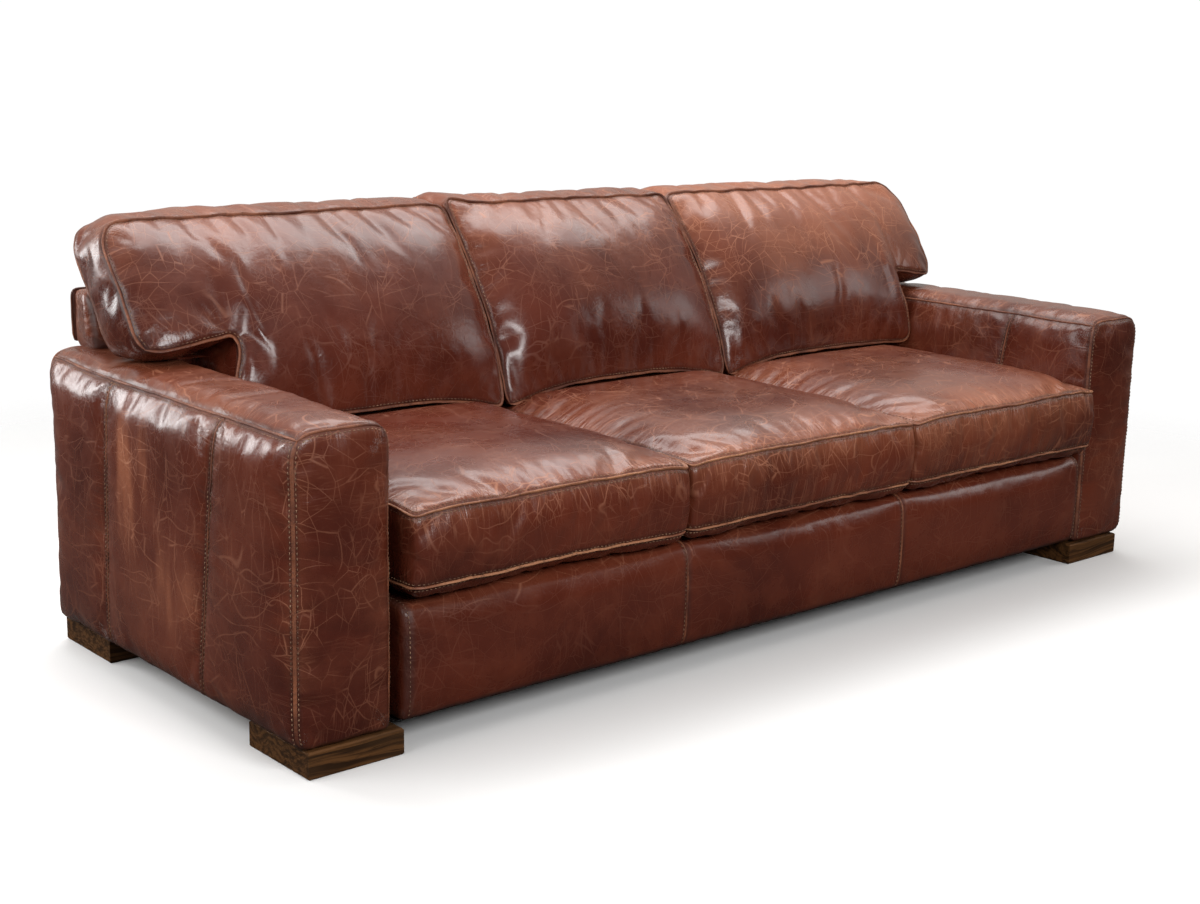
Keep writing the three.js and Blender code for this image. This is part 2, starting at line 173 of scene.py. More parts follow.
def fresh_material(name):
    material = bpy.data.materials.new(name)
    material.use_nodes = True
    tree = material.node_tree
    surface = tree.nodes["Principled BSDF"]
    return material, tree, surface


def dress(node, material):
    """Gives a carried-over part its own finish."""
    part = frame["nodes"][node]
    part.data.materials.clear()
    part.data.materials.append(material)


def scaled(tree, vector, x, y, z, turned=(0, 0, 0)):
    return add_node(
        tree, "ShaderNodeMapping", {"Vector": vector, "Scale": (x, y, z), "Rotation": turned}
    ).outputs[0]


def noise_of(tree, vector, scale, detail=3, roughness=0.5, distortion=0):
    return add_node(
        tree,
        "ShaderNodeTexNoise",
        {"Vector": vector, "Scale": scale, "Detail": detail, "Roughness": roughness, "Distortion": distortion},
    ).outputs["Fac"]


def ramp(tree, value, low, high, to_low=0.0, to_high=1.0):
    return add_node(
        tree,
        "ShaderNodeMapRange",
        {"Value": value, "From Min": low, "From Max": high, "To Min": to_low, "To Max": to_high},
        interpolation_type="SMOOTHSTEP",
    ).outputs[0]


def calculate(tree, operation, a, b=0.0, clamp=False):
    return add_node(tree, "ShaderNodeMath", {0: a, 1: b}, operation=operation, use_clamp=clamp).outputs[0]


def tint(tree, amount, under, over, mode="MIX"):
    return add_node(
        tree, "ShaderNodeMix", {0: amount, 6: under, 7: over}, data_type="RGBA", blend_type=mode
    ).outputs[2]


def bump(tree, height, distance=1.0, strength=1.0):
    return add_node(tree, "ShaderNodeBump", {"Height": height, "Distance": distance, "Strength": strength}).outputs[0]


OAK_DARK, OAK_LIGHT = (0.026, 0.011, 0.004, 1), (0.15, 0.064, 0.022, 1)
OAK_STAIN, OAK_PORE = (0.085, 0.042, 0.018, 1), (0.018, 0.009, 0.005, 1)
OAK_TILT = (0.5, 0, 0.12)  # how far the rings stand off the block's own axes, in radians


def oak_finish():
    material, tree, surface = fresh_material("oak_dark")
    place = add_node(tree, "ShaderNodeTexCoord").outputs["Object"]
    waver = noise_of(tree, scaled(tree, place, 2.5, 9, 9), 1, 2)
    lifted = add_node(tree, "ShaderNodeCombineXYZ", {"Z": calculate(tree, "MULTIPLY", waver, 0.09)}).outputs[0]
    bent = add_node(tree, "ShaderNodeVectorMath", {0: place, 1: lifted}).outputs[0]
    rings = noise_of(tree, scaled(tree, bent, 3, 60, 150, OAK_TILT), 1, 3, 0.6)
    pores = noise_of(tree, scaled(tree, bent, 25, 500, 900, OAK_TILT), 1, 2, 0.6)
    tone = noise_of(tree, place, 6, 3)
    colour = tint(tree, ramp(tree, rings, 0.38, 0.62), OAK_DARK, OAK_LIGHT)
    colour = tint(tree, ramp(tree, tone, 0.3, 0.75, 0, 0.5), colour, OAK_STAIN)
    colour = tint(tree, ramp(tree, pores, 0.56, 0.66, 0, 0.75), colour, OAK_PORE)
    tree.links.new(colour, surface.inputs["Base Color"])
    surface.inputs["Specular IOR Level"].default_value = 0.12
    tree.links.new(ramp(tree, rings, 0.3, 0.7, 0.7, 0.5), surface.inputs["Roughness"])
    raised = calculate(tree, "MULTIPLY", rings, 0.0006)
    height = calculate(tree, "SUBTRACT", raised, calculate(tree, "MULTIPLY", pores, 0.0004))
    tree.links.new(bump(tree, height), surface.inputs["Normal"])
    return material


oak = oak_finish()
for end in ("front", "rear"):
    for side in ("left", "right"):
        dress(f"foot_{end}_{side}", oak)


# ---- Timber, webbing and cloth inside ----
# Planed timber boards, birch ply panels, woven elastic webbing and black lining cloth, all hidden once the leather
# is on, and zinc-plated bolts that join the arms to the seat frame and the feet to the arms.


def board_finish(name, light, dark, streak):
    material, tree, surface = fresh_material(name)
    place = add_node(tree, "ShaderNodeTexCoord").outputs["Object"]
    grain = noise_of(tree, scaled(tree, place, *streak), 1, 4, 0.6, 0.4)
    knots = noise_of(tree, place, 4, 2)
    colour = tint(tree, ramp(tree, grain, 0.35, 0.7), dark, light)
    colour = tint(tree, ramp(tree, knots, 0.6, 0.8, 0, 0.4), colour, dark)
    tree.links.new(colour, surface.inputs["Base Color"])
    tree.links.new(ramp(tree, grain, 0.3, 0.7, 0.8, 0.65), surface.inputs["Roughness"])
    tree.links.new(bump(tree, grain, 0.0004), surface.inputs["Normal"])
    return material


def woven_finish(name, light, dark, threads):
    material, tree, surface = fresh_material(name)
    place = add_node(tree, "ShaderNodeTexCoord").outputs["Object"]
    spacing = {"Vector": place, "Scale": threads}
    across = add_node(tree, "ShaderNodeTexWave", spacing, bands_direction="X").outputs["Fac"]
    along = add_node(tree, "ShaderNodeTexWave", spacing, bands_direction="Y").outputs["Fac"]
    weave = calculate(tree, "MULTIPLY", across, along)
    fluff = noise_of(tree, place, 40, 4)
    tree.links.new(tint(tree, calculate(tree, "MULTIPLY", weave, fluff), dark, light), surface.inputs["Base Color"])
    tree.links.new(ramp(tree, fluff, 0.2, 0.8, 0.85, 0.98), surface.inputs["Roughness"])
    tree.links.new(bump(tree, weave, 0.0005), surface.inputs["Normal"])
    return material


def zinc_finish():
    material, tree, surface = fresh_material("bolt_steel")
    surface.inputs["Metallic"].default_value = 1
    place = add_node(tree, "ShaderNodeTexCoord").outputs["Object"]
    spangle = noise_of(tree, place, 120, 3)
    tree.links.new(tint(tree, spangle, (0.45, 0.46, 0.48, 1), (0.7, 0.7, 0.72, 1)), surface.inputs["Base Color"])
    tree.links.new(ramp(tree, spangle, 0.3, 0.7, 0.25, 0.45), surface.inputs["Roughness"])
    return material


planed = board_finish("frame_timber", (0.62, 0.42, 0.23, 1), (0.36, 0.2, 0.09, 1), (4, 30, 30))
ply = board_finish("plywood", (0.6, 0.43, 0.26, 1), (0.38, 0.24, 0.13, 1), (18, 6, 6))
elastic = woven_finish("webbing", (0.5, 0.46, 0.36, 1), (0.13, 0.11, 0.08, 1), 250)
lining = woven_finish("cloth_black", (0.05, 0.05, 0.05, 1), (0.012, 0.012, 0.012, 1), 400)
zinc = zinc_finish()
inside = {"frame_timber": planed, "plywood": ply, "webbing": elastic, "cloth_black": lining, "bolt_steel": zinc}
for part in frame["record"]["subparts"]:
    if part["material_slot"] in inside:
        dress(part["node"], inside[part["material_slot"]])


# ---- Arm leather ----
# Each arm is a box upholstered in thick pull-up hide over foam. A top panel runs the length of the arm, the outer
# side is pieced from three panels, and the front panel is top-stitched down its outer edge.

PITCH = 12.5 * MM  # the grid that the leather is draped on, before its one subdivision


def split_to_pitch(bm, axis, pitch):
    """Cuts every edge that runs along an axis into lengths of about pitch."""
    lengths = {}
    for edge in bm.edges:
        run = edge.verts[1].co - edge.verts[0].co
        if abs(run[axis]) > 0.99 * run.length:
            lengths.setdefault(round(run.length, 5), []).append(edge)
    for length, edges in lengths.items():
        cuts = max(1, round(length / pitch)) - 1
        if cuts:
            bmesh.ops.subdivide_edges(bm, edges=edges, cuts=cuts, use_grid_fill=True)


def hide_block(low, high, cuts=(), wings=(), pitch=PITCH):
    """A block in panels of squares. Each cut is (axis, place), and each wing (cut number, sign, end) pulls the part of
    an x face above that cut out to end."""
    bm = bmesh.new()
    bmesh.ops.create_cube(bm, size=1)
    for vert in bm.verts:
        vert.co = [low[i] if vert.co[i] < 0 else high[i] for i in range(3)]
    for axis, place in cuts:
        plane = Vector((0, 0, 0))
        plane[axis] = place
        normal = Vector((0, 0, 0))
        normal[axis] = 1
        geometry = bm.verts[:] + bm.edges[:] + bm.faces[:]
        cut = bmesh.ops.bisect_plane(bm, geom=geometry, plane_co=plane, plane_no=normal, dist=1e-6)
        for edge in (g for g in cut["geom_cut"] if isinstance(g, bmesh.types.BMEdge)):
            edge.seam = True
    for which, sign, end in wings:
        level = cuts[which][1]
        face = [f for f in bm.faces if f.normal.x * sign > 0.9 and f.calc_center_median()[cuts[which][0]] > level]
        out = bmesh.ops.extrude_face_region(bm, geom=face)
        bmesh.ops.delete(bm, geom=face, context="FACES")
        for vert in (g for g in out["geom"] if isinstance(g, bmesh.types.BMVert)):
            vert.co.x = end
    for axis in range(3):
        split_to_pitch(bm, axis, pitch)
    bm.normal_update()
    for edge in bm.edges:
        if edge.calc_face_angle(0) > 1:
            edge.seam = True
    bm.verts.index_update()
    return bm


def seam_runs(bm, along):
    """Vertices in order down each seam where along(point) is true, by number. A closed seam ends where it starts."""
    loose = {e for e in bm.edges if e.seam and all(along(v.co) for v in e.verts)}
    meeting = {}
    for edge in loose:
        for vert in edge.verts:
            meeting.setdefault(vert, []).append(edge)
    runs = []
    while loose:
        ends = [v for v in meeting if sum(e in loose for e in meeting[v]) == 1]
        begin = min(ends or [v for e in loose for v in e.verts], key=lambda v: (-v.co.y, v.co.x, v.co.z))
        run = [begin]
        while True:
            step = next((e for e in sorted(meeting[run[-1]], key=lambda e: e.index) if e in loose), None)
            if step is None:
                break
            loose.remove(step)
            run.append(step.other_vert(run[-1]))
        runs.append([v.index for v in run])
    return runs


def points_of(mesh, normals=False):
    values = np.empty(len(mesh.vertices) * 3)
    (mesh.vertex_normals if normals else mesh.vertices).foreach_get("vector" if normals else "co", values)
    return values.reshape(-1, 3)


def set_points(mesh, points):
    mesh.vertices.foreach_set("co", points.ravel())
    mesh.update()


def note(mesh, name, kind, values):
    """Writes one value for each vertex, for the finish to read."""
    layer = mesh.attributes.get(name) or mesh.attributes.new(name, kind, "POINT")
    layer.data.foreach_set("vector" if kind == "FLOAT_VECTOR" else "value", np.asarray(values, dtype=float).ravel())


def noted(mesh, name):
    values = np.empty(len(mesh.vertices) * 3)
    mesh.attributes[name].data.foreach_get("vector", values)
    return values.reshape(-1, 3)


def nearest_seam(points, runs):
    """How far along the nearest seam each point is, and how far from it, in metres."""
    gap = np.full(len(points), 9.0)
    run_at = np.zeros(len(points))
    for run in runs:
        line = points[run]
        start, step = line[:-1], np.diff(line, axis=0)
        length = np.maximum(np.linalg.norm(step, axis=1), 1e-9)
        before = np.concatenate([[0], np.cumsum(length)[:-1]])
        for first in range(0, len(points), 1500):
            some = points[first : first + 1500, None]
            share = np.clip(((some - start) * step).sum(2) / length**2, 0, 1)
            away = np.linalg.norm(some - start - share[..., None] * step, axis=2)
            best = away.argmin(axis=1)
            rows = np.arange(len(best))
            nearer = away[rows, best] < gap[first : first + 1500]
            where = first + rows[nearer]
            gap[where] = away[rows, best][nearer]
            run_at[where] = (before[best] + share[rows, best] * length[best])[nearer]
    return run_at, gap


def wave(points, scale, seed):
    """Smooth noise between about -1 and 1 for each point."""
    return np.array([noise.noise(Vector(p) * scale + Vector((seed, 1.7 * seed, 0.3 * seed))) for p in points])


def bell(values, middle, spread):
    """1 at middle, and down to nothing over about two spreads to each side."""
    return np.exp(-(((values - middle) / spread) ** 2))


def round_corner(points, axes, corner, signs, radius):
    """Bends a square corner of a block to a round one, in the plane of two axes."""
    a, b = axes
    past_a = radius - (corner[0] - points[:, a]) * signs[0]
    past_b = radius - (corner[1] - points[:, b]) * signs[1]
    near = (past_a > 0) & (past_b > 0)
    shrink = np.where(near, np.maximum(past_a, past_b) / np.maximum(np.hypot(past_a, past_b), 1e-9), 1)
    points[:, a] = np.where(near, corner[0] - signs[0] * (radius - past_a * shrink), points[:, a])
    points[:, b] = np.where(near, corner[1] - signs[1] * (radius - past_b * shrink), points[:, b])


FILL_STEPS = 18  # frames of simulation, enough for a cover to swell and settle


def blow_up(cover, pinned, slack, pressure, limit):
    """Fills a leather cover: the seams hold still, and the hide between them, cut a little too big, swells and
    puckers. slack is how much too big, as a share of its size, and no point moves further than limit."""
    before = points_of(cover.data)
    sewn = cover.vertex_groups.new(name="sewn")
    sewn.add(sorted(pinned), 1.0, "REPLACE")
    cloth = cover.modifiers.new("cloth", "CLOTH")
    hide = cloth.settings
    hide.quality = 5
    hide.mass = 0.2
    hide.tension_stiffness = hide.compression_stiffness = 15
    hide.shear_stiffness = 5
    hide.bending_stiffness = 0.4
    hide.shrink_min = -slack
    hide.effector_weights.gravity = 0
    hide.use_pressure = True
    hide.uniform_pressure_force = pressure
    hide.vertex_group_mass = sewn.name
    cloth.collision_settings.use_collision = False
    cloth.point_cache.frame_start, cloth.point_cache.frame_end = 1, FILL_STEPS
    for step in range(1, FILL_STEPS + 1):
        scene.frame_set(step)
    filled = cover.evaluated_get(bpy.context.evaluated_depsgraph_get())
    moved = points_of(filled.data) - before
    cover.modifiers.remove(cloth)
    cover.vertex_groups.remove(sewn)
    scene.frame_set(1)
    far = np.linalg.norm(moved, axis=1, keepdims=True)
    set_points(cover.data, before + moved * limit * np.tanh(far / limit) / np.maximum(far, 1e-9))


def subdivided(cover):
    """One subdivision, made part of the mesh."""
    smooth = cover.modifiers.new("smooth", "SUBSURF")
    smooth.levels = smooth.render_levels = 1
    made = bpy.data.meshes.new_from_object(cover.evaluated_get(bpy.context.evaluated_depsgraph_get()))
    cover.modifiers.remove(smooth)
    cover.data = made
    made.shade_smooth()


GROOVE_DEPTH, GROOVE_WIDTH = 1.6 * MM, 5 * MM  # the dip that a seam pulls in the hide
PUCKER, PUCKER_REACH = 0.9 * MM, 28 * MM  # the ripples beside a seam, before gather adds to them
RIPPLES_ALONG, RIPPLES_ACROSS = 52, 12  # a metre


def sew_cover(name, bm, shape, runs, settle=None, *, gather, slack, pressure, limit):
    """Turns a block into a filled leather cover: shape bends it, the runs are its seams, gather is how much the hide
    creases along them, and settle presses it against what it rests on. The other values are what blow_up takes."""
    mesh = bpy.data.meshes.new(name)
    bm.to_mesh(mesh)
    bm.free()
    cover = bpy.data.objects.new(name, mesh)
    scene.collection.objects.link(cover)
    points = shape(points_of(mesh))
    set_points(mesh, points)
    run_at, gap = nearest_seam(points, runs)
    note(mesh, "seam", "FLOAT_VECTOR", np.stack([run_at, gap, np.full_like(gap, gather)], axis=1))
    blow_up(cover, {i for run in runs for i in run}, slack, pressure, limit)
    if settle:
        set_points(mesh, settle(points_of(mesh)))
    subdivided(cover)
    mesh = cover.data
    run_at, gap = noted(mesh, "seam")[:, :2].T
    points, normals = points_of(mesh), points_of(mesh, normals=True)
    groove = -GROOVE_DEPTH * bell(gap, 0, GROOVE_WIDTH)
    along = np.stack([run_at * RIPPLES_ALONG, gap * RIPPLES_ACROSS, np.zeros_like(gap)], axis=1)
    pucker = (PUCKER + gather * MM) * np.exp(-gap / PUCKER_REACH) * wave(along, 1, 5.0)
    set_points(mesh, points + normals * (groove + pucker)[:, None])
    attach(cover, "root")
    return cover


HIDE_DEEP, HIDE_BODY = (0.062, 0.0095, 0.005, 1), (0.14, 0.0255, 0.0115, 1)
HIDE_WARM, HIDE_RUBBED = (0.185, 0.041, 0.0175, 1), (0.37, 0.122, 0.06, 1)
# The second colour darkens the hide beside each seam: dirt in the seam, and painted shade of the seam's recess
HIDE_LINE, HIDE_SEAM_DIRT_SHADE = (0.5, 0.2, 0.11, 1), (0.03, 0.008, 0.005, 1)
HIDE_SPECK = (0.03, 0.007, 0.005, 1)


def leather_finish():
    """Glossy brown hide: deep red-brown in the body, rubbed to tan where it is touched, and crazed all over with fine
    pale lines. wear is how rubbed a spot is. seam is its place along and away from the nearest seam, and how gathered
    the hide is there."""
    material, tree, surface = fresh_material("leather_brown")
    place = add_node(tree, "ShaderNodeTexCoord").outputs["Object"]
    wear = add_node(tree, "ShaderNodeAttribute", attribute_name="wear").outputs["Fac"]
    seam = add_node(tree, "ShaderNodeAttribute", attribute_name="seam").outputs["Vector"]
    parts = add_node(tree, "ShaderNodeSeparateXYZ", {0: seam}).outputs
    gap, gather = parts["Y"], parts["Z"]

    def drifted(vector, scale, reach):
        """The same place, moved a little by noise, so that lines wander."""
        drift = add_node(tree, "ShaderNodeTexNoise", {"Vector": place, "Scale": scale, "Detail": 1}).outputs["Color"]
        middle = (0.5, 0.5, 0.5)
        centred = add_node(tree, "ShaderNodeVectorMath", {0: drift, 1: middle}, operation="SUBTRACT").outputs[0]
        shift = add_node(tree, "ShaderNodeVectorMath", {0: centred, "Scale": reach}, operation="SCALE").outputs[0]
        return add_node(tree, "ShaderNodeVectorMath", {0: vector, 1: shift}).outputs[0]

    def cracks(scale, width, seed, stretch=(1, 1, 1), turned=(0, 0, 0)):
        """Thin lines that meet and cross, as the edges of cells."""
        spot = scaled(tree, bent, *stretch, turned)
        shifted = add_node(tree, "ShaderNodeVectorMath", {0: spot, 1: (seed, -seed, 0.5 * seed)}).outputs[0]
        edge = add_node(tree, "ShaderNodeTexVoronoi", {"Vector": shifted, "Scale": scale}, feature="DISTANCE_TO_EDGE")
        return ramp(tree, edge.outputs["Distance"], 0, width, 1, 0)

    def patch(scale, low, high, seed):
        """1 in some patches of the hide and 0 in the rest."""
        spot = add_node(tree, "ShaderNodeVectorMath", {0: place, 1: (seed, seed, -seed)}).outputs[0]
        return ramp(tree, noise_of(tree, spot, scale, 2, 0.6), low, high)

    def most(*values):
        top = values[0]
        for value in values[1:]:
            top = calculate(tree, "MAXIMUM", top, value)
        return top

    def both(a, b):
        return calculate(tree, "MULTIPLY", a, b)

    bent = drifted(drifted(place, 3.5, 0.14), 16, 0.007)
    broad = noise_of(tree, place, 2.4, 3, 0.55)
    cloud = noise_of(tree, bent, 11, 6, 0.66)
    speck = noise_of(tree, place, 70, 4, 0.7)

    uneven = calculate(tree, "SUBTRACT", noise_of(tree, place, 6, 3), 0.5)
    rubbed = calculate(tree, "ADD", wear, calculate(tree, "MULTIPLY", uneven, 0.7))
    rubbed = ramp(tree, rubbed, 0.08, 1.0)
    colour = tint(tree, ramp(tree, broad, 0.3, 0.7), HIDE_DEEP, HIDE_BODY)
    colour = tint(tree, ramp(tree, cloud, 0.36, 0.78, 0, 0.45), colour, HIDE_WARM)
    colour = tint(tree, rubbed, colour, HIDE_RUBBED)
    colour = tint(tree, ramp(tree, speck, 0.62, 0.85, 0, 0.15), colour, HIDE_SPECK)

    web = most(
        both(cracks(11, 0.014, 8.7, (1, 1.8, 1), (0.8, 0.1, 0.7)), patch(9, 0.44, 0.6, 2)),
        both(cracks(38, 0.032, 1.3, (1.6, 1, 1), (0.5, 0.1, 0.2)), patch(7, 0.54, 0.7, 11)),
    )
    scratch = most(
        both(cracks(2.6, 0.016, 4.4, (1.2, 9, 9), (0.2, 0.5, 0.6)), patch(8, 0.43, 0.57, 5)),
        both(cracks(2.8, 0.016, 6.1, (8, 1.5, 7), (0.4, 0.1, -0.5)), patch(8, 0.43, 0.57, 9)),
        both(cracks(3.0, 0.018, 2.6, (8, 8, 1.4), (0.3, 0.35, 0.1)), patch(8, 0.43, 0.57, 13)),
    )
    fan_spot = scaled(tree, seam, 60, 4, 1)
    fan = calculate(tree, "ABSOLUTE", calculate(tree, "SUBTRACT", noise_of(tree, fan_spot, 1, 3, 0.5, 0.6), 0.5))
    fan = both(ramp(tree, fan, 0, 0.02, 1, 0), ramp(tree, gap, 0.012, 0.15, 1, 0))
    fan = both(both(fan, ramp(tree, gather, 0, 1.2, 0.2, 0.75)), patch(5, 0.38, 0.56, 3))
    lines = most(web, scratch, fan)
    strength = calculate(tree, "ADD", 0.03, calculate(tree, "MULTIPLY", wear, 1.4), clamp=True)
    colour = tint(tree, both(lines, strength), colour, HIDE_LINE)
    # Darker and rougher within about 16 mm of a seam: dirt in the seam and painted shade of its recess.
    seam_dirt_and_shade = ramp(tree, gap, 0.001, 0.016, 0.7, 0)
    colour = tint(tree, both(seam_dirt_and_shade, ramp(tree, cloud, 0.3, 0.7, 1, 0.4)), colour, HIDE_SEAM_DIRT_SHADE)
    tree.links.new(colour, surface.inputs["Base Color"])

    gloss = calculate(tree, "ADD", ramp(tree, cloud, 0.25, 0.8, 0.2, 0.34), calculate(tree, "MULTIPLY", lines, 0.15))
    gloss = calculate(tree, "ADD", gloss, calculate(tree, "MULTIPLY", wear, 0.08))
    gloss = calculate(tree, "ADD", gloss, calculate(tree, "MULTIPLY", seam_dirt_and_shade, 0.3))
    tree.links.new(gloss, surface.inputs["Roughness"])
    surface.inputs["Coat Weight"].default_value = 0.16
    surface.inputs["Coat Roughness"].default_value = 0.14

    folds = noise_of(tree, scaled(tree, seam, 130, 16, 1), 1, 2, 0.5, 0.5)
    folds = both(both(folds, gather), ramp(tree, gap, 0.004, 0.06, 0.0042, 0))
    folds = both(folds, ramp(tree, uneven, -0.15, 0.1, 0.15, 1))
    crinkle = both(noise_of(tree, place, 55, 3, 0.55, 0.8), ramp(tree, uneven, -0.15, 0.15, 0.0003, 0.0009))
    grain = calculate(tree, "MULTIPLY", noise_of(tree, place, 520, 2, 0.5), 0.0002)
    height = calculate(tree, "ADD", folds, calculate(tree, "ADD", crinkle, grain))
    tree.links.new(bump(tree, height), surface.inputs["Normal"])
    return material


def edge_finish(name, dark, pale):
    """The edge of the hide where two panels are sewn together, rubbed pale."""
    material, tree, surface = fresh_material(name)
    place = add_node(tree, "ShaderNodeTexCoord").outputs["Object"]
    tone = noise_of(tree, place, 9, 4, 0.6)
    fibre = noise_of(tree, place, 160, 3, 0.6)
    colour = tint(tree, ramp(tree, tone, 0.3, 0.7), dark, pale)
    colour = tint(tree, ramp(tree, fibre, 0.5, 0.75, 0, 0.6), colour, (0.04, 0.011, 0.007, 1))
    tree.links.new(colour, surface.inputs["Base Color"])
    tree.links.new(ramp(tree, fibre, 0.3, 0.7, 0.42, 0.65), surface.inputs["Roughness"])
    tree.links.new(bump(tree, fibre, 0.0012), surface.inputs["Normal"])
    return material


def thread_finish():
    """Waxed linen thread, darker and paler in patches."""
    material, tree, surface = fresh_material("thread")
    place = add_node(tree, "ShaderNodeTexCoord").outputs["Object"]
    soil = noise_of(tree, place, 14, 3, 0.6)
    twist = noise_of(tree, place, 900, 2)
    colour = tint(tree, ramp(tree, soil, 0.35, 0.7), (0.12, 0.052, 0.03, 1), (0.38, 0.22, 0.13, 1))
    tree.links.new(colour, surface.inputs["Base Color"])
    tree.links.new(ramp(tree, twist, 0.3, 0.7, 0.5, 0.7), surface.inputs["Roughness"])
    tree.links.new(bump(tree, twist, 0.0003), surface.inputs["Normal"])
    return material


leather = leather_finish()
seat_edge = edge_finish("seat_edge", (0.2, 0.06, 0.03, 1), (0.5, 0.22, 0.11, 1))
folded_edge = edge_finish("folded_edge", (0.09, 0.022, 0.011, 1), (0.32, 0.11, 0.052, 1))
thread = thread_finish()


def evenly(values, spacing, path):
    """Resamples values that lie along path at even spacing."""
    reach = np.concatenate([[0], np.cumsum(np.linalg.norm(np.diff(path, axis=0), axis=1))])
    stops = np.linspace(0, reach[-1], max(3, round(reach[-1] / spacing) + 1))
    return np.stack([np.interp(stops, reach, values[:, i]) for i in range(values.shape[1])], axis=1)


def eased(values, times=2):
    """Takes the corners off a run of values, and leaves its ends where they are."""
    for _ in range(times):
        values[1:-1] = (values[:-2] + 2 * values[1:-1] + values[2:]) / 4
    return values


def seam_line(cover, run, spacing):
    """Points down a seam, the way out of the leather at each, and the way across it."""
    path = points_of(cover.data)[run]
    out = points_of(cover.data, normals=True)[run]
    line = eased(evenly(path, spacing, path))
    out = eased(evenly(out, spacing, path), 4)
    tangent = np.gradient(line, axis=0)
    tangent /= np.maximum(np.linalg.norm(tangent, axis=1, keepdims=True), 1e-9)
    across = np.cross(tangent, out)
    across /= np.maximum(np.linalg.norm(across, axis=1, keepdims=True), 1e-9)
    return line, np.cross(across, tangent), across, tangent


LIP_SECTION = [(-1, -0.5), (-0.95, 0.45), (-0.5, 1), (0.5, 1), (0.95, 0.45), (1, -0.5), (-1, -0.5)]


def add_lip(bm, cover, run, half_width, height, wobble, seed, spacing=6.5 * MM):
    """A strip of leather that stands up along a seam, and tapers at both ends."""
    line, out, across, _ = seam_line(cover, run, spacing)
    rise = 1 + 0.22 * wave(line, 38, seed)
    sway = wobble * wave(line, 26, seed + 3)
    last = len(line) - 1
    made = bmesh.ops.create_grid(bm, x_segments=last, y_segments=len(LIP_SECTION) - 1, size=1)["verts"]
    for vert in made:
        i = round((vert.co.x + 1) / 2 * last)
        side, up = LIP_SECTION[round((vert.co.y + 1) / 2 * (len(LIP_SECTION) - 1))]
        taper = min(1, 0.3 + 0.35 * min(i, last - i))
        lift = up * height * rise[i] * taper
        vert.co = line[i] + out[i] * lift + across[i] * (side * half_width * taper + sway[i] * max(up, 0))
    bmesh.ops.remove_doubles(bm, verts=made, dist=0.05 * MM)


def close_up(bm):
    bmesh.ops.holes_fill(bm, edges=[e for e in bm.edges if e.is_boundary], sides=12)
    bmesh.ops.recalc_face_normals(bm, faces=bm.faces)


def finished(name, bm, material):
    mesh = bpy.data.meshes.new(name)
    bm.to_mesh(mesh)
    bm.free()
    mesh.materials.append(material)
    mesh.shade_smooth()
    piece = bpy.data.objects.new(name, mesh)
    scene.collection.objects.link(piece)
    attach(piece, "root")
    return piece


def stitch_shape(long, wide, high):
    bm = bmesh.new()
    bmesh.ops.create_icosphere(bm, subdivisions=1, radius=0.5)
    bmesh.ops.scale(bm, verts=bm.verts, vec=(long, wide, high))
    mesh = bpy.data.meshes.new("stitch")
    bm.to_mesh(mesh)
    bm.free()
    return mesh


stitch = stitch_shape(long=6.4 * MM, wide=2.0 * MM, high=1.6 * MM)


STITCH_REACH = 20 * MM  # a stitch further than this off the leather is left out


def add_stitches(bm, cover, ground, run, offset, pitch=9 * MM):
    """A row of stitches on the leather, offset to one side of a seam."""
    line, out, across, tangent = seam_line(cover, run, pitch)
    for i in range(1, len(line) - 1):
        spot, normal, _, away = ground.find_nearest(Vector(line[i] + across[i] * offset))
        if spot is None or away > STITCH_REACH:
            continue
        ahead = Vector(tangent[i])
        ahead = (ahead - normal * ahead.dot(normal)).normalized()
        turned = Matrix((ahead, normal.cross(ahead), normal)).transposed().to_4x4()
        placed = Matrix.Translation(spot + normal * 0.3 * MM) @ turned
        stitch.transform(placed)
        bm.from_mesh(stitch)
        stitch.transform(placed.inverted())


def sew_seams(name, cover, seams, seed, edge):
    """Adds the lips and the stitches to a cover. Each seam is (run, (half width, height), wobble, stitch offsets)."""
    lips, stitches = bmesh.new(), bmesh.new()
    mesh = cover.data
    ground = BVHTree.FromPolygons([v.co for v in mesh.vertices], [p.vertices for p in mesh.polygons])
    for k, (run, lip, wobble, offsets) in enumerate(seams):
        if lip:
            add_lip(lips, cover, run, *lip, wobble, seed + 0.7 * k)
        for offset in offsets:
            add_stitches(stitches, cover, ground, run, offset)
    if len(lips.verts):
        close_up(lips)
        finished(f"{name}_seams", lips, edge)
    else:
        lips.free()
    if len(stitches.verts):
        finished(f"{name}_stitches", stitches, thread)
    else:
        stitches.free()


def mark_wear(cover, amount):
    """Notes how rubbed the leather is, from each point and the way it faces."""
    mesh = cover.data
    points, normals = points_of(mesh), points_of(mesh, normals=True)
    note(mesh, "wear", "FLOAT", np.clip(amount(points, normals), 0, 1))
    mesh.materials.append(leather)


def same(a, b):
    return abs(a - b) < 1e-5


ARM_SEAM_INSET = (20 * MM, 11 * MM, 13 * MM)  # how far the seams sit inside the padded arm: side, front, top and rear
ARM_PANEL_SEAMS = (-178 * MM, 212 * MM)  # the upright seams on the outer side
ARM_SEAM_SLANT = (41 * MM, 19 * MM)  # how far each leans forward at its top and back at its foot
ARM_OUTER_PAD = 7 * MM  # how much further out the seams sit on the outer side
ARM_TOP_ROUNDS = (42 * MM, 36 * MM)  # outer and inner
ARM_FOOT_ROUND, ARM_REAR_ROUND = 26 * MM, 18 * MM
ARM_SIDE_SWELL, ARM_END_SWELL, ARM_TOP_SWELL = 8 * MM, 7 * MM, 8 * MM  # out between the seams
ARM_REAR_RISE = 8 * MM  # the top rises to meet the back
ARM_REAR_LAP = (12 * MM, 10 * MM)  # how far the inner rear corner reaches in and back, to close on the back leather
ARM_BEND = 380 * MM  # where that corner starts to reach in


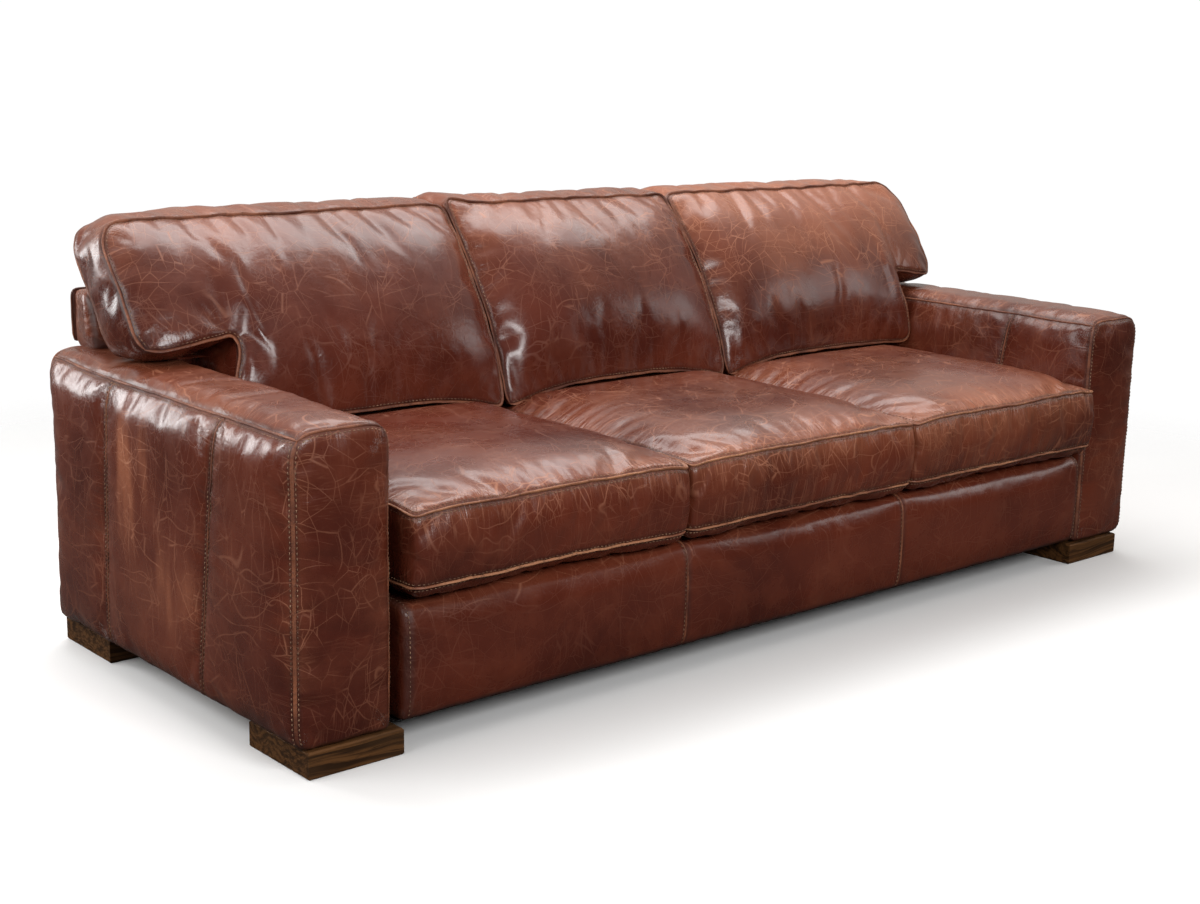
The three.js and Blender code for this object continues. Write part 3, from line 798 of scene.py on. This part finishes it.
def make_arm(side, sign, seed):
    """sign is the way from the seat out to the arm, along X."""
    low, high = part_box(f"arm_cover_{side}")
    low, high = Vector(low), Vector(high)
    sides, front, top = ARM_SEAM_INSET
    low += Vector((sides, front, 1 * MM))
    high -= Vector((sides, top, top))
    low.x -= ARM_OUTER_PAD * (sign < 0)
    high.x += ARM_OUTER_PAD * (sign > 0)
    outer, inner = (low.x, high.x) if sign < 0 else (high.x, low.x)
    bm = hide_block(low, high, cuts=[(1, y) for y in ARM_PANEL_SEAMS])
    for edge in bm.edges:  # both panel seams show on the outer side, and the front one on the inner side
        on_outer = all(same(v.co.x, outer) for v in edge.verts)
        on_inner = all(same(v.co.x, inner) and same(v.co.y, ARM_PANEL_SEAMS[0]) for v in edge.verts)
        if edge.calc_face_angle(0) < 1 and not (on_outer or on_inner):
            edge.seam = False
    top_outer = seam_runs(bm, lambda p: same(p.x, outer) and same(p.z, high.z))
    top_inner = seam_runs(bm, lambda p: same(p.x, inner) and same(p.z, high.z))
    front_top = seam_runs(bm, lambda p: same(p.y, low.y) and same(p.z, high.z))
    front_outer = seam_runs(bm, lambda p: same(p.y, low.y) and same(p.x, outer))
    front_inner = seam_runs(bm, lambda p: same(p.y, low.y) and same(p.x, inner))
    rear = seam_runs(bm, lambda p: same(p.y, high.y))
    hem = seam_runs(bm, lambda p: same(p.z, low.z))
    panels = seam_runs(bm, lambda p: any(same(p.y, y) for y in ARM_PANEL_SEAMS) and not same(p.z, low.z))
    runs = top_outer + top_inner + front_top + front_outer + front_inner + rear + hem + panels

    def shape(points):
        middle = (np.array(low) + np.array(high)) / 2
        half = (np.array(high) - np.array(low)) / 2
        u, v, w = ((points - middle) / half).T
        up = (points[:, 2] - low.z) / (high.z - low.z)
        slant = np.interp(points[:, 1], (low.y, *ARM_PANEL_SEAMS, high.y), (0, *ARM_SEAM_SLANT, 0))
        round_corner(points, (0, 2), (outer, high.z), (sign, 1), ARM_TOP_ROUNDS[0])
        round_corner(points, (0, 2), (inner, high.z), (-sign, 1), ARM_TOP_ROUNDS[1])
        round_corner(points, (0, 2), (outer, low.z), (sign, -1), ARM_FOOT_ROUND)
        round_corner(points, (0, 1), (outer, high.y), (sign, 1), ARM_REAR_ROUND)
        swell = ARM_SIDE_SWELL * ((1 - v**8) * (1 - w**6)).clip(0) ** 0.6
        points[:, 0] += np.where(abs(u) > 0.999, np.sign(u) * swell, 0)
        swell = ARM_END_SWELL * ((1 - u**4) * (1 - w**4)).clip(0) ** 0.6
        points[:, 1] += np.where(abs(v) > 0.999, np.sign(v) * swell, 0)
        swell = ARM_TOP_SWELL * ((1 - u**4) * (1 - v**4)).clip(0) ** 0.6
        points[:, 2] += np.where(w > 0.999, swell, 0)
        points[:, 1] += (1 - 2 * up) * slant
        points[:, 0] += 1.5 * MM * wave(points, 4, seed)
        points[:, 1] += 1.5 * MM * wave(points, 4, seed + 9) * (abs(v) < 0.999)
        points[:, 2] += 2.2 * MM * wave(points, 7, seed + 4) * up
        points[:, 2] += np.interp(points[:, 1], (250 * MM, 420 * MM), (0, ARM_REAR_RISE)) * up
        rearward = ((points[:, 1] - ARM_BEND) / (high.y - ARM_BEND)).clip(0, 1) ** 2
        by_seat = (1 - u * sign) / 2
        points[:, 0] -= sign * ARM_REAR_LAP[0] * rearward * by_seat
        points[:, 1] += ARM_REAR_LAP[1] * rearward * by_seat
        return points

    def settle(points):
        points[:, 2] = np.clip(points[:, 2], low.z, high.z + top)
        return points

    name = f"arm_leather_{side}"
    cover = sew_cover(name, bm, shape, runs, settle, gather=0.4, slack=0.017, pressure=1.8, limit=9 * MM)
    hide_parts(f"arm_cover_{side}")

    def amount(points, normals):
        up = (points[:, 2] - low.z) / (high.z - low.z)
        rubbed = 0.16 + 0.06 * normals[:, 2].clip(0) + 0.2 * bell(points[:, 2], high.z, 18 * MM)
        corner = bell(points[:, 1], low.y, 22 * MM) * bell(points[:, 0], outer, 30 * MM)
        rubbed += 0.2 * corner * (up > 0.2)
        if side == "left":
            drag = bell(points[:, 1], 118 * MM, 30 * MM) * bell(points[:, 2], 430 * MM, 120 * MM)
            drag += 0.6 * bell(points[:, 1], 40 * MM, 18 * MM) * bell(points[:, 2], 470 * MM, 70 * MM)
            drag += 0.5 * bell(points[:, 1], -60 * MM, 70 * MM) * bell(points[:, 2], 260 * MM, 70 * MM)
            streaks = 0.6 + 0.9 * wave(points * [1, 1, 0.12], 55, seed)
            rubbed += drag * streaks * (normals[:, 0] < -0.5)
        return rubbed

    mark_wear(cover, amount)
    fold, flat, narrow = (2.6 * MM, 3.0 * MM), (3.4 * MM, 1.2 * MM), (2.0 * MM, 2.2 * MM)
    seams = [(r, fold, 1.5 * MM, (8 * MM,)) for r in top_outer + front_top]
    seams += [(r, fold, 1.5 * MM, ()) for r in top_inner]
    seams += [(r, flat, 0.5 * MM, (-6 * MM, 6 * MM)) for r in front_outer]
    seams += [(r, flat, 0.5 * MM, (7 * MM,)) for r in front_inner]
    seams += [(r, narrow, 0.9 * MM, (-6 * MM, 6 * MM)) for r in panels]
    seams += [(r, fold, 1 * MM, ()) for r in rear]
    sew_seams(f"arm_{side}", cover, seams, seed, folded_edge)


make_arm("left", sign=-1, seed=2.0)
make_arm("right", sign=1, seed=6.0)


# ---- Front rail leather ----
# One long padded panel over the front rail, pieced from three hides, rounded over the top edge and tucked down
# behind the cushions and under the rail.

RAIL_PANEL_SEAMS = (-325 * MM, 330 * MM)
RAIL_END_SEAM = 9 * MM  # in from each end
RAIL_SEAM_INSET, RAIL_TOP_INSET = 7 * MM, 5 * MM
RAIL_SWELL = 7 * MM
RAIL_TOP_ROUND, RAIL_FOOT_ROUND = 26 * MM, 12 * MM


def make_rail(seed):
    low, high = (Vector(corner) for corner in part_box("front_rail_cover"))
    low += Vector((0, RAIL_SEAM_INSET, 2 * MM))
    high -= Vector((0, 0, RAIL_TOP_INSET))
    ends = (low.x + RAIL_END_SEAM, high.x - RAIL_END_SEAM)
    seams_at = RAIL_PANEL_SEAMS + ends
    bm = hide_block(low, high, cuts=[(0, x) for x in seams_at])
    for edge in bm.edges:  # no seam runs along the rounded top edge
        if all(same(v.co.z, high.z) and same(v.co.y, low.y) for v in edge.verts):
            edge.seam = False

    def upright_seams(places):
        return seam_runs(bm, lambda p: (same(p.y, low.y) or same(p.z, high.z)) and any(same(p.x, x) for x in places))

    panels, closing = upright_seams(RAIL_PANEL_SEAMS), upright_seams(ends)
    hem = seam_runs(bm, lambda p: same(p.z, low.z)) + seam_runs(bm, lambda p: same(p.y, high.y))
    outer = seam_runs(bm, lambda p: same(p.x, low.x)) + seam_runs(bm, lambda p: same(p.x, high.x))

    def shape(points):
        up = (points[:, 2] - low.z) / (high.z - low.z)
        front = abs(points[:, 1] - low.y) < 1e-5
        points[:, 1] -= np.where(front, RAIL_SWELL * (1 - (2 * up - 1) ** 4), 0)
        round_corner(points, (1, 2), (low.y, high.z), (-1, 1), RAIL_TOP_ROUND)
        round_corner(points, (1, 2), (low.y, low.z), (-1, -1), RAIL_FOOT_ROUND)
        points[:, 1] += 1.2 * MM * wave(points, 3, seed)
        points[:, 2] += 1.6 * MM * wave(points, 5, seed + 3) * up
        return points

    runs = panels + closing + hem + outer
    name = "front_rail_leather"
    cover = sew_cover(name, bm, shape, runs, gather=0.15, slack=0.003, pressure=0.8, limit=5 * MM)
    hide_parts("front_rail_cover")
    mark_wear(cover, lambda points, normals: 0.03 + 0.2 * bell(points[:, 2], high.z - 6 * MM, 20 * MM))
    lip = (2.8 * MM, 2.4 * MM)
    seams = [(r, lip, 1 * MM, (6 * MM,)) for r in panels]
    seams += [(r, None, 0, (0,)) for r in closing]
    sew_seams("front_rail", cover, seams, seed, folded_edge)


make_rail(seed=11.0)


# ---- Back leather ----
# The inside back is a padded cover over the sloped ribs, and the outside back is leather stretched over a board.
# Both are cut round the arms, and they are sewn together along the top and down the ends.


BACK_SLOPE = ((300 * MM, 285 * MM), (420 * MM, 735 * MM))  # (y, z) of the sloped face, at its foot and at its top
BACK_WING = 152 * MM  # how far the back reaches out over each arm
BACK_LAP = 16 * MM  # how far the outside back laps over the rear of each arm
BACK_WING_DROP = 9 * MM  # how far the inside leather hangs down on to the arm
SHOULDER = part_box("arm_cover_left")[1][2] + 3 * MM  # how high the wings start


def make_inside_back(seed):
    low, high = (Vector(corner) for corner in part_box("inside_back_cover"))
    face_low, face_high = BACK_SLOPE[0][0], BACK_SLOPE[1][0]
    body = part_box("outside_back_panel")[1][0] - BACK_WING
    low_box = Vector((-body, face_high, low.z))
    high_box = Vector((body, high.y, high.z - 6 * MM))
    wings = [(0, 1, high.x - 4 * MM), (0, -1, low.x + 4 * MM)]
    bm = hide_block(low_box, high_box, cuts=[(2, SHOULDER)], wings=wings, pitch=22 * MM)
    for edge in bm.edges:
        if edge.calc_face_angle(0) < 1:
            edge.seam = False
    runs = seam_runs(bm, lambda p: same(p.y, face_high)) + seam_runs(bm, lambda p: same(p.y, high.y))

    def shape(points):
        up = (points[:, 2] - low.z) / (high.z - low.z)
        back = (points[:, 1] - face_high) / (high.y - face_high)
        face = face_low + (face_high - face_low) * up
        points[:, 1] = face + (high.y - face) * back
        round_corner(points, (1, 2), (face_high, high_box.z), (-1, 1), 18 * MM)
        points[:, 2] += 2 * MM * wave(points, 5, seed) * up
        over_arm = (np.abs(points[:, 0]) > body) & (points[:, 2] < SHOULDER + 3 * MM)
        points[:, 2] -= np.where(over_arm, BACK_WING_DROP, 0)
        return points

    def settle(points):
        points[:, 1] = np.minimum(points[:, 1], high.y)
        return points

    name = "inside_back_leather"
    cover = sew_cover(name, bm, shape, runs, settle, gather=0.5, slack=0.01, pressure=0.8, limit=6 * MM)
    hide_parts("inside_back_cover")
    mark_wear(cover, lambda points, normals: 0.3 + 0.2 * bell(points[:, 2], high.z, 30 * MM))


def make_outside_back(seed):
    low, high = (Vector(corner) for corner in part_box("outside_back_panel"))
    body = high.x - BACK_WING + BACK_LAP
    third = body / 3
    low_box = Vector((-body, low.y + 1 * MM, low.z + 2 * MM))
    high_box = Vector((body, high.y - 4 * MM, high.z - 3 * MM))
    wings = [(0, 1, high.x - 2 * MM), (0, -1, low.x + 2 * MM)]
    cuts = [(2, SHOULDER), (0, -third), (0, third)]
    bm = hide_block(low_box, high_box, cuts=cuts, wings=wings, pitch=17 * MM)
    for edge in bm.edges:
        across = [same(abs(v.co.x), third) and same(v.co.y, high_box.y) for v in edge.verts]
        if edge.calc_face_angle(0) < 1 and not all(across):
            edge.seam = False

    def on_rim(p):
        level = any(same(p.z, z) for z in (low_box.z, SHOULDER, high_box.z))
        return same(p.y, high_box.y) and (level or same(abs(p.x), body) or abs(p.x) > body + 0.1 * MM)

    rim = seam_runs(bm, on_rim)
    panels = seam_runs(bm, lambda p: same(abs(p.x), third) and same(p.y, high_box.y))
    front = seam_runs(bm, lambda p: same(p.y, low_box.y))

    def shape(points):
        points[:, 2] += 1.5 * MM * wave(points, 3, seed)
        return points

    runs = rim + panels + front
    name = "outside_back_leather"
    cover = sew_cover(name, bm, shape, runs, gather=0.2, slack=0.008, pressure=1.0, limit=7 * MM)
    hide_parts("outside_back_panel")
    mark_wear(cover, lambda points, normals: 0.14 + 0.25 * bell(points[:, 2], high.z, 25 * MM))
    seams = [(r, (3 * MM, 3 * MM), 1 * MM, ()) for r in rim]
    seams += [(r, (2.6 * MM, 1.2 * MM), 0.6 * MM, (-6 * MM, 6 * MM)) for r in panels]
    sew_seams("outside_back", cover, seams, seed, folded_edge)


make_inside_back(seed=14.0)
make_outside_back(seed=15.0)


# ---- Seat cushions ----
# Three loose box cushions with feather-wrapped cores. A crowned top and a slack underside are each sewn to an
# upright band, with the seam turned outwards, and the fronts puff out over the rail.

SEAT_TOP_SEAM, SEAT_LOW_SEAM = 447 * MM, 312 * MM
SEAT_DECK = 284 * MM  # how high the undersides lie on the deck
RAIL_BREAK = -443 * MM  # where the rail's top starts to round off, under the overhang
SEAT_INSET = (1 * MM, 9 * MM, 4 * MM)  # how far the seams sit in from the cushion's ends, front and rear
SEAT_CROWN, SEAT_CORNER_DROP, SEAT_FRONT_SWELL = 30 * MM, 8 * MM, 6 * MM
SEAT_BELLY, SEAT_BELLY_REACH = 27 * MM, 45 * MM  # how deep the underside hangs, and how far in that is reached
SEAT_FRONT_ROUND, SEAT_REAR_ROUND = 11 * MM, 30 * MM
SEAT_CEILING = ((-60 * MM, 540 * MM), (90 * MM, 482 * MM))  # (y, z) of the line that the back cushions rest on


def make_seat(place, seed, wear, gather):
    low, high = (Vector(corner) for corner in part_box(f"seat_cushion_{place}"))
    ends, front, rear = SEAT_INSET
    low_box = Vector((low.x + ends, low.y + front, SEAT_LOW_SEAM))
    high_box = Vector((high.x - ends, high.y - rear, SEAT_TOP_SEAM))
    bm = hide_block(low_box, high_box)
    for edge in bm.edges:  # the band turns the corners without a seam
        if not same(edge.verts[0].co.z, edge.verts[1].co.z):
            edge.seam = False
    top = seam_runs(bm, lambda p: same(p.z, high_box.z))
    bottom = seam_runs(bm, lambda p: same(p.z, low_box.z))
    middle = (np.array(low_box) + np.array(high_box)) / 2
    half = (np.array(high_box) - np.array(low_box)) / 2

    def shape(points):
        u, v, w = ((points - middle) / half).T
        crown = ((1 - u**4) * (1 - v**4)).clip(0) ** 0.75
        corner = abs(u) ** 10 * abs(v) ** 10
        edge = np.minimum(half[0] * (1 - abs(u)), half[1] * (1 - abs(v)))
        belly = SEAT_BELLY * np.sqrt((1 - (1 - edge / SEAT_BELLY_REACH).clip(0) ** 2).clip(0))
        points[:, 2] += np.where(w > 0.999, SEAT_CROWN * crown, 0)
        points[:, 2] -= np.where(w < -0.999, belly, 0)
        points[:, 2] -= SEAT_CORNER_DROP * corner * (w > 0)
        points[:, 1] -= np.where(v < -0.999, SEAT_FRONT_SWELL * (1 - w**2), 0)
        for x, sign in ((low_box.x, -1), (high_box.x, 1)):
            round_corner(points, (0, 1), (x, low_box.y), (sign, -1), SEAT_FRONT_ROUND)
            round_corner(points, (0, 1), (x, high_box.y), (sign, 1), SEAT_REAR_ROUND)
        points[:, 2] += 3.4 * MM * wave(points * [1, 1, 0.3], 7, seed)
        points[:, 1] += 2.5 * MM * wave(points * [1, 0.4, 1], 8, seed + 5)
        return points

    def settle(points):
        points[:, 0] = np.clip(points[:, 0], low.x + 0.5 * MM, high.x - 0.5 * MM)
        ceiling = np.interp(points[:, 1], *zip(*SEAT_CEILING))
        points[:, 2] = np.minimum(points[:, 2], ceiling)
        over = np.clip((RAIL_BREAK - points[:, 1]) / (30 * MM), 0, 1)
        points[:, 2] = np.maximum(points[:, 2], SEAT_DECK - 10 * MM * over * over)
        return points

    name = f"seat_leather_{place}"
    cover = sew_cover(
        name, bm, shape, top + bottom, settle, gather=gather, slack=0.032, pressure=3.0, limit=22 * MM
    )
    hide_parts(f"seat_cushion_{place}")

    def amount(points, normals):
        rubbed = wear + 0.12 * normals[:, 2].clip(0)
        rubbed += 0.35 * bell(points[:, 1], low.y + 25 * MM, 70 * MM) * bell(points[:, 2], SEAT_TOP_SEAM, 45 * MM)
        return rubbed

    mark_wear(cover, amount)
    seams = [(r, (2.4 * MM, 6.5 * MM), 2.2 * MM, (-8 * MM, 8 * MM)) for r in top]
    seams += [(r, (2.0 * MM, 4.5 * MM), 1.8 * MM, (-7 * MM, 7 * MM)) for r in bottom]
    sew_seams(f"seat_{place}", cover, seams, seed, seat_edge)


make_seat("left", seed=21.0, wear=0.06, gather=1.0)
make_seat("centre", seed=24.0, wear=0.18, gather=1.1)
make_seat("right", seed=28.0, wear=0.22, gather=1.8)


# ---- Back cushions ----
# Three loose cushions, filled softer than the seat, that lean on the sloped back. A front and a rear panel are sewn to
# a band, and on the outer two an ear laps over the arm.

BACK_FACE = ((92 * MM, 494 * MM), (333 * MM, 880 * MM))  # (y, z) of the front panel's foot and top
BACK_REAR = ((340 * MM, 497 * MM), (412 * MM, 735 * MM), (468 * MM, 876 * MM))  # and down the rear panel
BACK_REAR_SHARES = (0, 0.62, 1)  # how far up the cushion each of those stands
BACK_BLOCK = 200 * MM  # the depth of the straight block that a cushion is bent from
BACK_DOME, BACK_ARCH = 32 * MM, 26 * MM  # how far the front panel swells, and how far the whole face bows forward
BACK_SAG, BACK_TOP_RISE = 40 * MM, 8 * MM  # how far the foot's corners drop, and how far the top of the band domes
BACK_TOP_ROUND, BACK_FOOT_ROUND = 18 * MM, 26 * MM
BACK_PEAK = 12 * MM  # the middle cushion's left top corner is pulled up
EAR_FOOT = 660 * MM  # how high an ear's front edge stands over the arm
EAR_REAR = ((255 * MM, 616 * MM), (457 * MM, 864 * MM))  # (y, z) of an ear's rear edge at its foot and top
EAR_ROUNDS = (70 * MM, 50 * MM)  # its top and its foot corner
EAR_TIP_INSET, EAR_DROP = 12 * MM, 22 * MM
EAR_START, EAR_WIDTH = 930 * MM, 170 * MM  # where an ear starts to turn back, and over what width
# how far an ear's front bows out, the leather tucks in at its inner corner, and the creases stand there
EAR_SLUMP = {-1: (24 * MM, 36 * MM, 4 * MM), 0: (0, 0, 0), 1: (4 * MM, 14 * MM, 2 * MM)}
ARM_REST = 621 * MM  # how high an ear lies on the arm
ARM_INSIDE = 1000 * MM  # how far out the inner side of each arm stands


def make_back(place, side, seed, wear):
    """side is -1 or 1 for a cushion with an ear over that arm, and 0 for the plain one."""
    low, high = (Vector(corner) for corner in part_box(f"back_cushion_{place}"))
    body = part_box("arm_cover_right")[0][0] + 3 * MM
    slope = math.dist(*BACK_FACE)
    ear_share = (EAR_FOOT - BACK_FACE[0][1]) / (BACK_FACE[1][1] - BACK_FACE[0][1])
    ear_at = slope * ear_share
    ear_bow, tuck, crease = EAR_SLUMP[side]
    x0 = -body if side < 0 else low.x + 1 * MM
    x1 = body if side > 0 else high.x - 1 * MM
    tip = side * (max(abs(low.x), abs(high.x)) - EAR_TIP_INSET)
    wings = [(0, side, tip)] if side else []
    cuts = [(2, ear_at)] if side else []
    bm = hide_block(Vector((x0, 0, 0)), Vector((x1, BACK_BLOCK, slope)), cuts=cuts, wings=wings)
    for edge in bm.edges:  # the band turns the corners without a seam
        if edge.calc_face_angle(0) < 1 or not same(edge.verts[0].co.y, edge.verts[1].co.y):
            edge.seam = False
    front = seam_runs(bm, lambda p: same(p.y, 0))
    rear = seam_runs(bm, lambda p: same(p.y, BACK_BLOCK))
    middle, half = (x0 + x1) / 2, (x1 - x0) / 2

    def round_corners(points):
        if side:
            round_corner(points, (0, 2), (tip, slope), (side, 1), EAR_ROUNDS[0])
            round_corner(points, (0, 2), (tip, ear_at), (side, -1), EAR_ROUNDS[1])
        for x, sign in ((x0, -1), (x1, 1)):
            if sign != side:
                round_corner(points, (0, 2), (x, slope), (sign, 1), BACK_TOP_ROUND)
            round_corner(points, (0, 2), (x, 0), (sign, -1), BACK_FOOT_ROUND)

    def tuck_ear(laid, out, share, deep):
        """Draws the leather in at the inner corner of the ear, where it turns over the arm, and creases it there."""
        hollow = bell(share, ear_share - 0.06, 0.13) * bell(out, body, 70 * MM)
        corner = bell(out, body, 34 * MM) * bell(share, ear_share, 0.07)
        hem = bell(share, ear_share, 0.16) * (out > EAR_START)
        out_along = ((out - 960 * MM) / (216 * MM)).clip(0, 1)
        laid[:, 0] += side * (9 * MM * corner - tuck * hollow)
        laid[:, 2] += (14 - 26 * out_along) * MM * hem - 9 * MM * corner
        ring = np.hypot(out - body + 30 * MM, (share - ear_share) * slope) - 62 * MM
        around = np.arctan2(share - ear_share, (out - body) / slope)
        laid[:, 1] += crease * bell(ring, 0, 42 * MM) * np.cos(6 * around + seed) * (deep < 0.5)

    def shape(points):
        share = points[:, 2] / slope
        deep = points[:, 1] / BACK_BLOCK
        from_middle = points[:, 0] - middle
        across = (np.abs(from_middle) / half).clip(0, 1)
        if side:
            across = np.where(from_middle * side > 0, np.abs(from_middle) / abs(tip - middle), across)
        crown = ((1 - across**4) * (1 - abs(2 * share - 1) ** 4)).clip(0) ** 0.7
        round_corners(points)
        share = points[:, 2] / slope
        out = points[:, 0] * side
        ear = ((out - EAR_START) / EAR_WIDTH).clip(0, 1)
        ear = ear * ear * (3 - 2 * ear) * (share > ear_share - 0.02)
        rear_y, rear_z = (np.interp(share, BACK_REAR_SHARES, stops) for stops in zip(*BACK_REAR))
        ear_y, ear_z = (np.interp(share, (ear_share, 1), stops) for stops in zip(*EAR_REAR))
        rear_y += ear * (ear_y - rear_y)
        rear_z += ear * (ear_z - rear_z)
        (y_low, z_low), (y_high, z_high) = BACK_FACE
        arch = np.sin(np.pi * share.clip(0, 1)) * (1 - 0.35 * (share - 0.5))
        front_y = y_low + (y_high - y_low) * share - (BACK_ARCH + ear_bow * ear) * arch
        front_z = z_low + (z_high - z_low) * share - EAR_DROP * ear * (1 - share)
        dome = np.where(deep < 0.001, BACK_DOME * crown, 0)
        laid = points.copy()
        laid[:, 1] = front_y + (rear_y - front_y) * deep - (z_high - z_low) / slope * dome
        laid[:, 2] = front_z + (rear_z - front_z) * deep + (y_high - y_low) / slope * dome
        if side:
            tuck_ear(laid, out, share, deep)
        sag = BACK_SAG * across**3 * (1 - share).clip(0) ** 3
        laid[:, 2] -= np.where(np.abs(points[:, 0]) < body, sag, 0)
        laid[:, 2] += np.where(share > 0.999, BACK_TOP_RISE * (1 - (2 * deep - 1) ** 2), 0)
        laid[:, 2] += (4.5 * wave(laid, 9, seed) + 3.6 * wave(laid, 22, seed + 2)) * MM * share
        if not side:
            laid[:, 2] += BACK_PEAK * bell(points[:, 0], x0, 60 * MM) * bell(share, 1, 0.1)
        laid[:, 1] += 3 * MM * wave(laid, 8, seed + 6)
        laid[:, 0] += 2.5 * MM * wave(laid, 7, seed + 8) * (across < 0.99)
        return laid

    def settle(points):
        left = low.x + 0.5 * MM if side >= 0 else -math.inf
        right = high.x - 0.5 * MM if side <= 0 else math.inf
        points[:, 0] = np.clip(points[:, 0], left, right)
        if side:
            between_arms = np.clip(points[:, 0], -ARM_INSIDE, ARM_INSIDE)
            points[:, 0] = np.where(points[:, 2] < ARM_REST - 1 * MM, between_arms, points[:, 0])
        (y_foot, z_foot), (y_top, z_top) = BACK_SLOPE
        up = (points[:, 2] - z_foot) / (z_top - z_foot)
        lean = np.where(up < 1, y_foot + (y_top - y_foot) * up - 2 * MM, math.inf)
        points[:, 1] = np.minimum(points[:, 1], lean)
        over_arm = np.abs(points[:, 0]) > body + 2 * MM
        points[:, 2] = np.where(over_arm, np.maximum(points[:, 2], ARM_REST), points[:, 2])
        return points

    name = f"back_leather_{place}"
    cover = sew_cover(
        name, bm, shape, front + rear, settle, gather=0.3, slack=0.024, pressure=3.0, limit=24 * MM
    )
    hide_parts(f"back_cushion_{place}")

    def amount(points, normals):
        rubbed = wear * np.interp(points[:, 2], (560 * MM, 780 * MM), (0.2, 1.25))
        return rubbed + 0.28 * bell(points[:, 2], 880 * MM, 60 * MM)

    mark_wear(cover, amount)
    seams = [(r, (2.2 * MM, 5.5 * MM), 2.4 * MM, (-7 * MM,)) for r in front]
    seams += [(r, (2.2 * MM, 4.5 * MM), 2.0 * MM, ()) for r in rear]
    sew_seams(f"back_{place}", cover, seams, seed, folded_edge)


make_back("left", side=-1, seed=33.0, wear=0.15)
make_back("centre", side=0, seed=37.0, wear=0.2)
make_back("right", side=1, seed=41.0, wear=0.42)


bpy.data.meshes.remove(stitch)
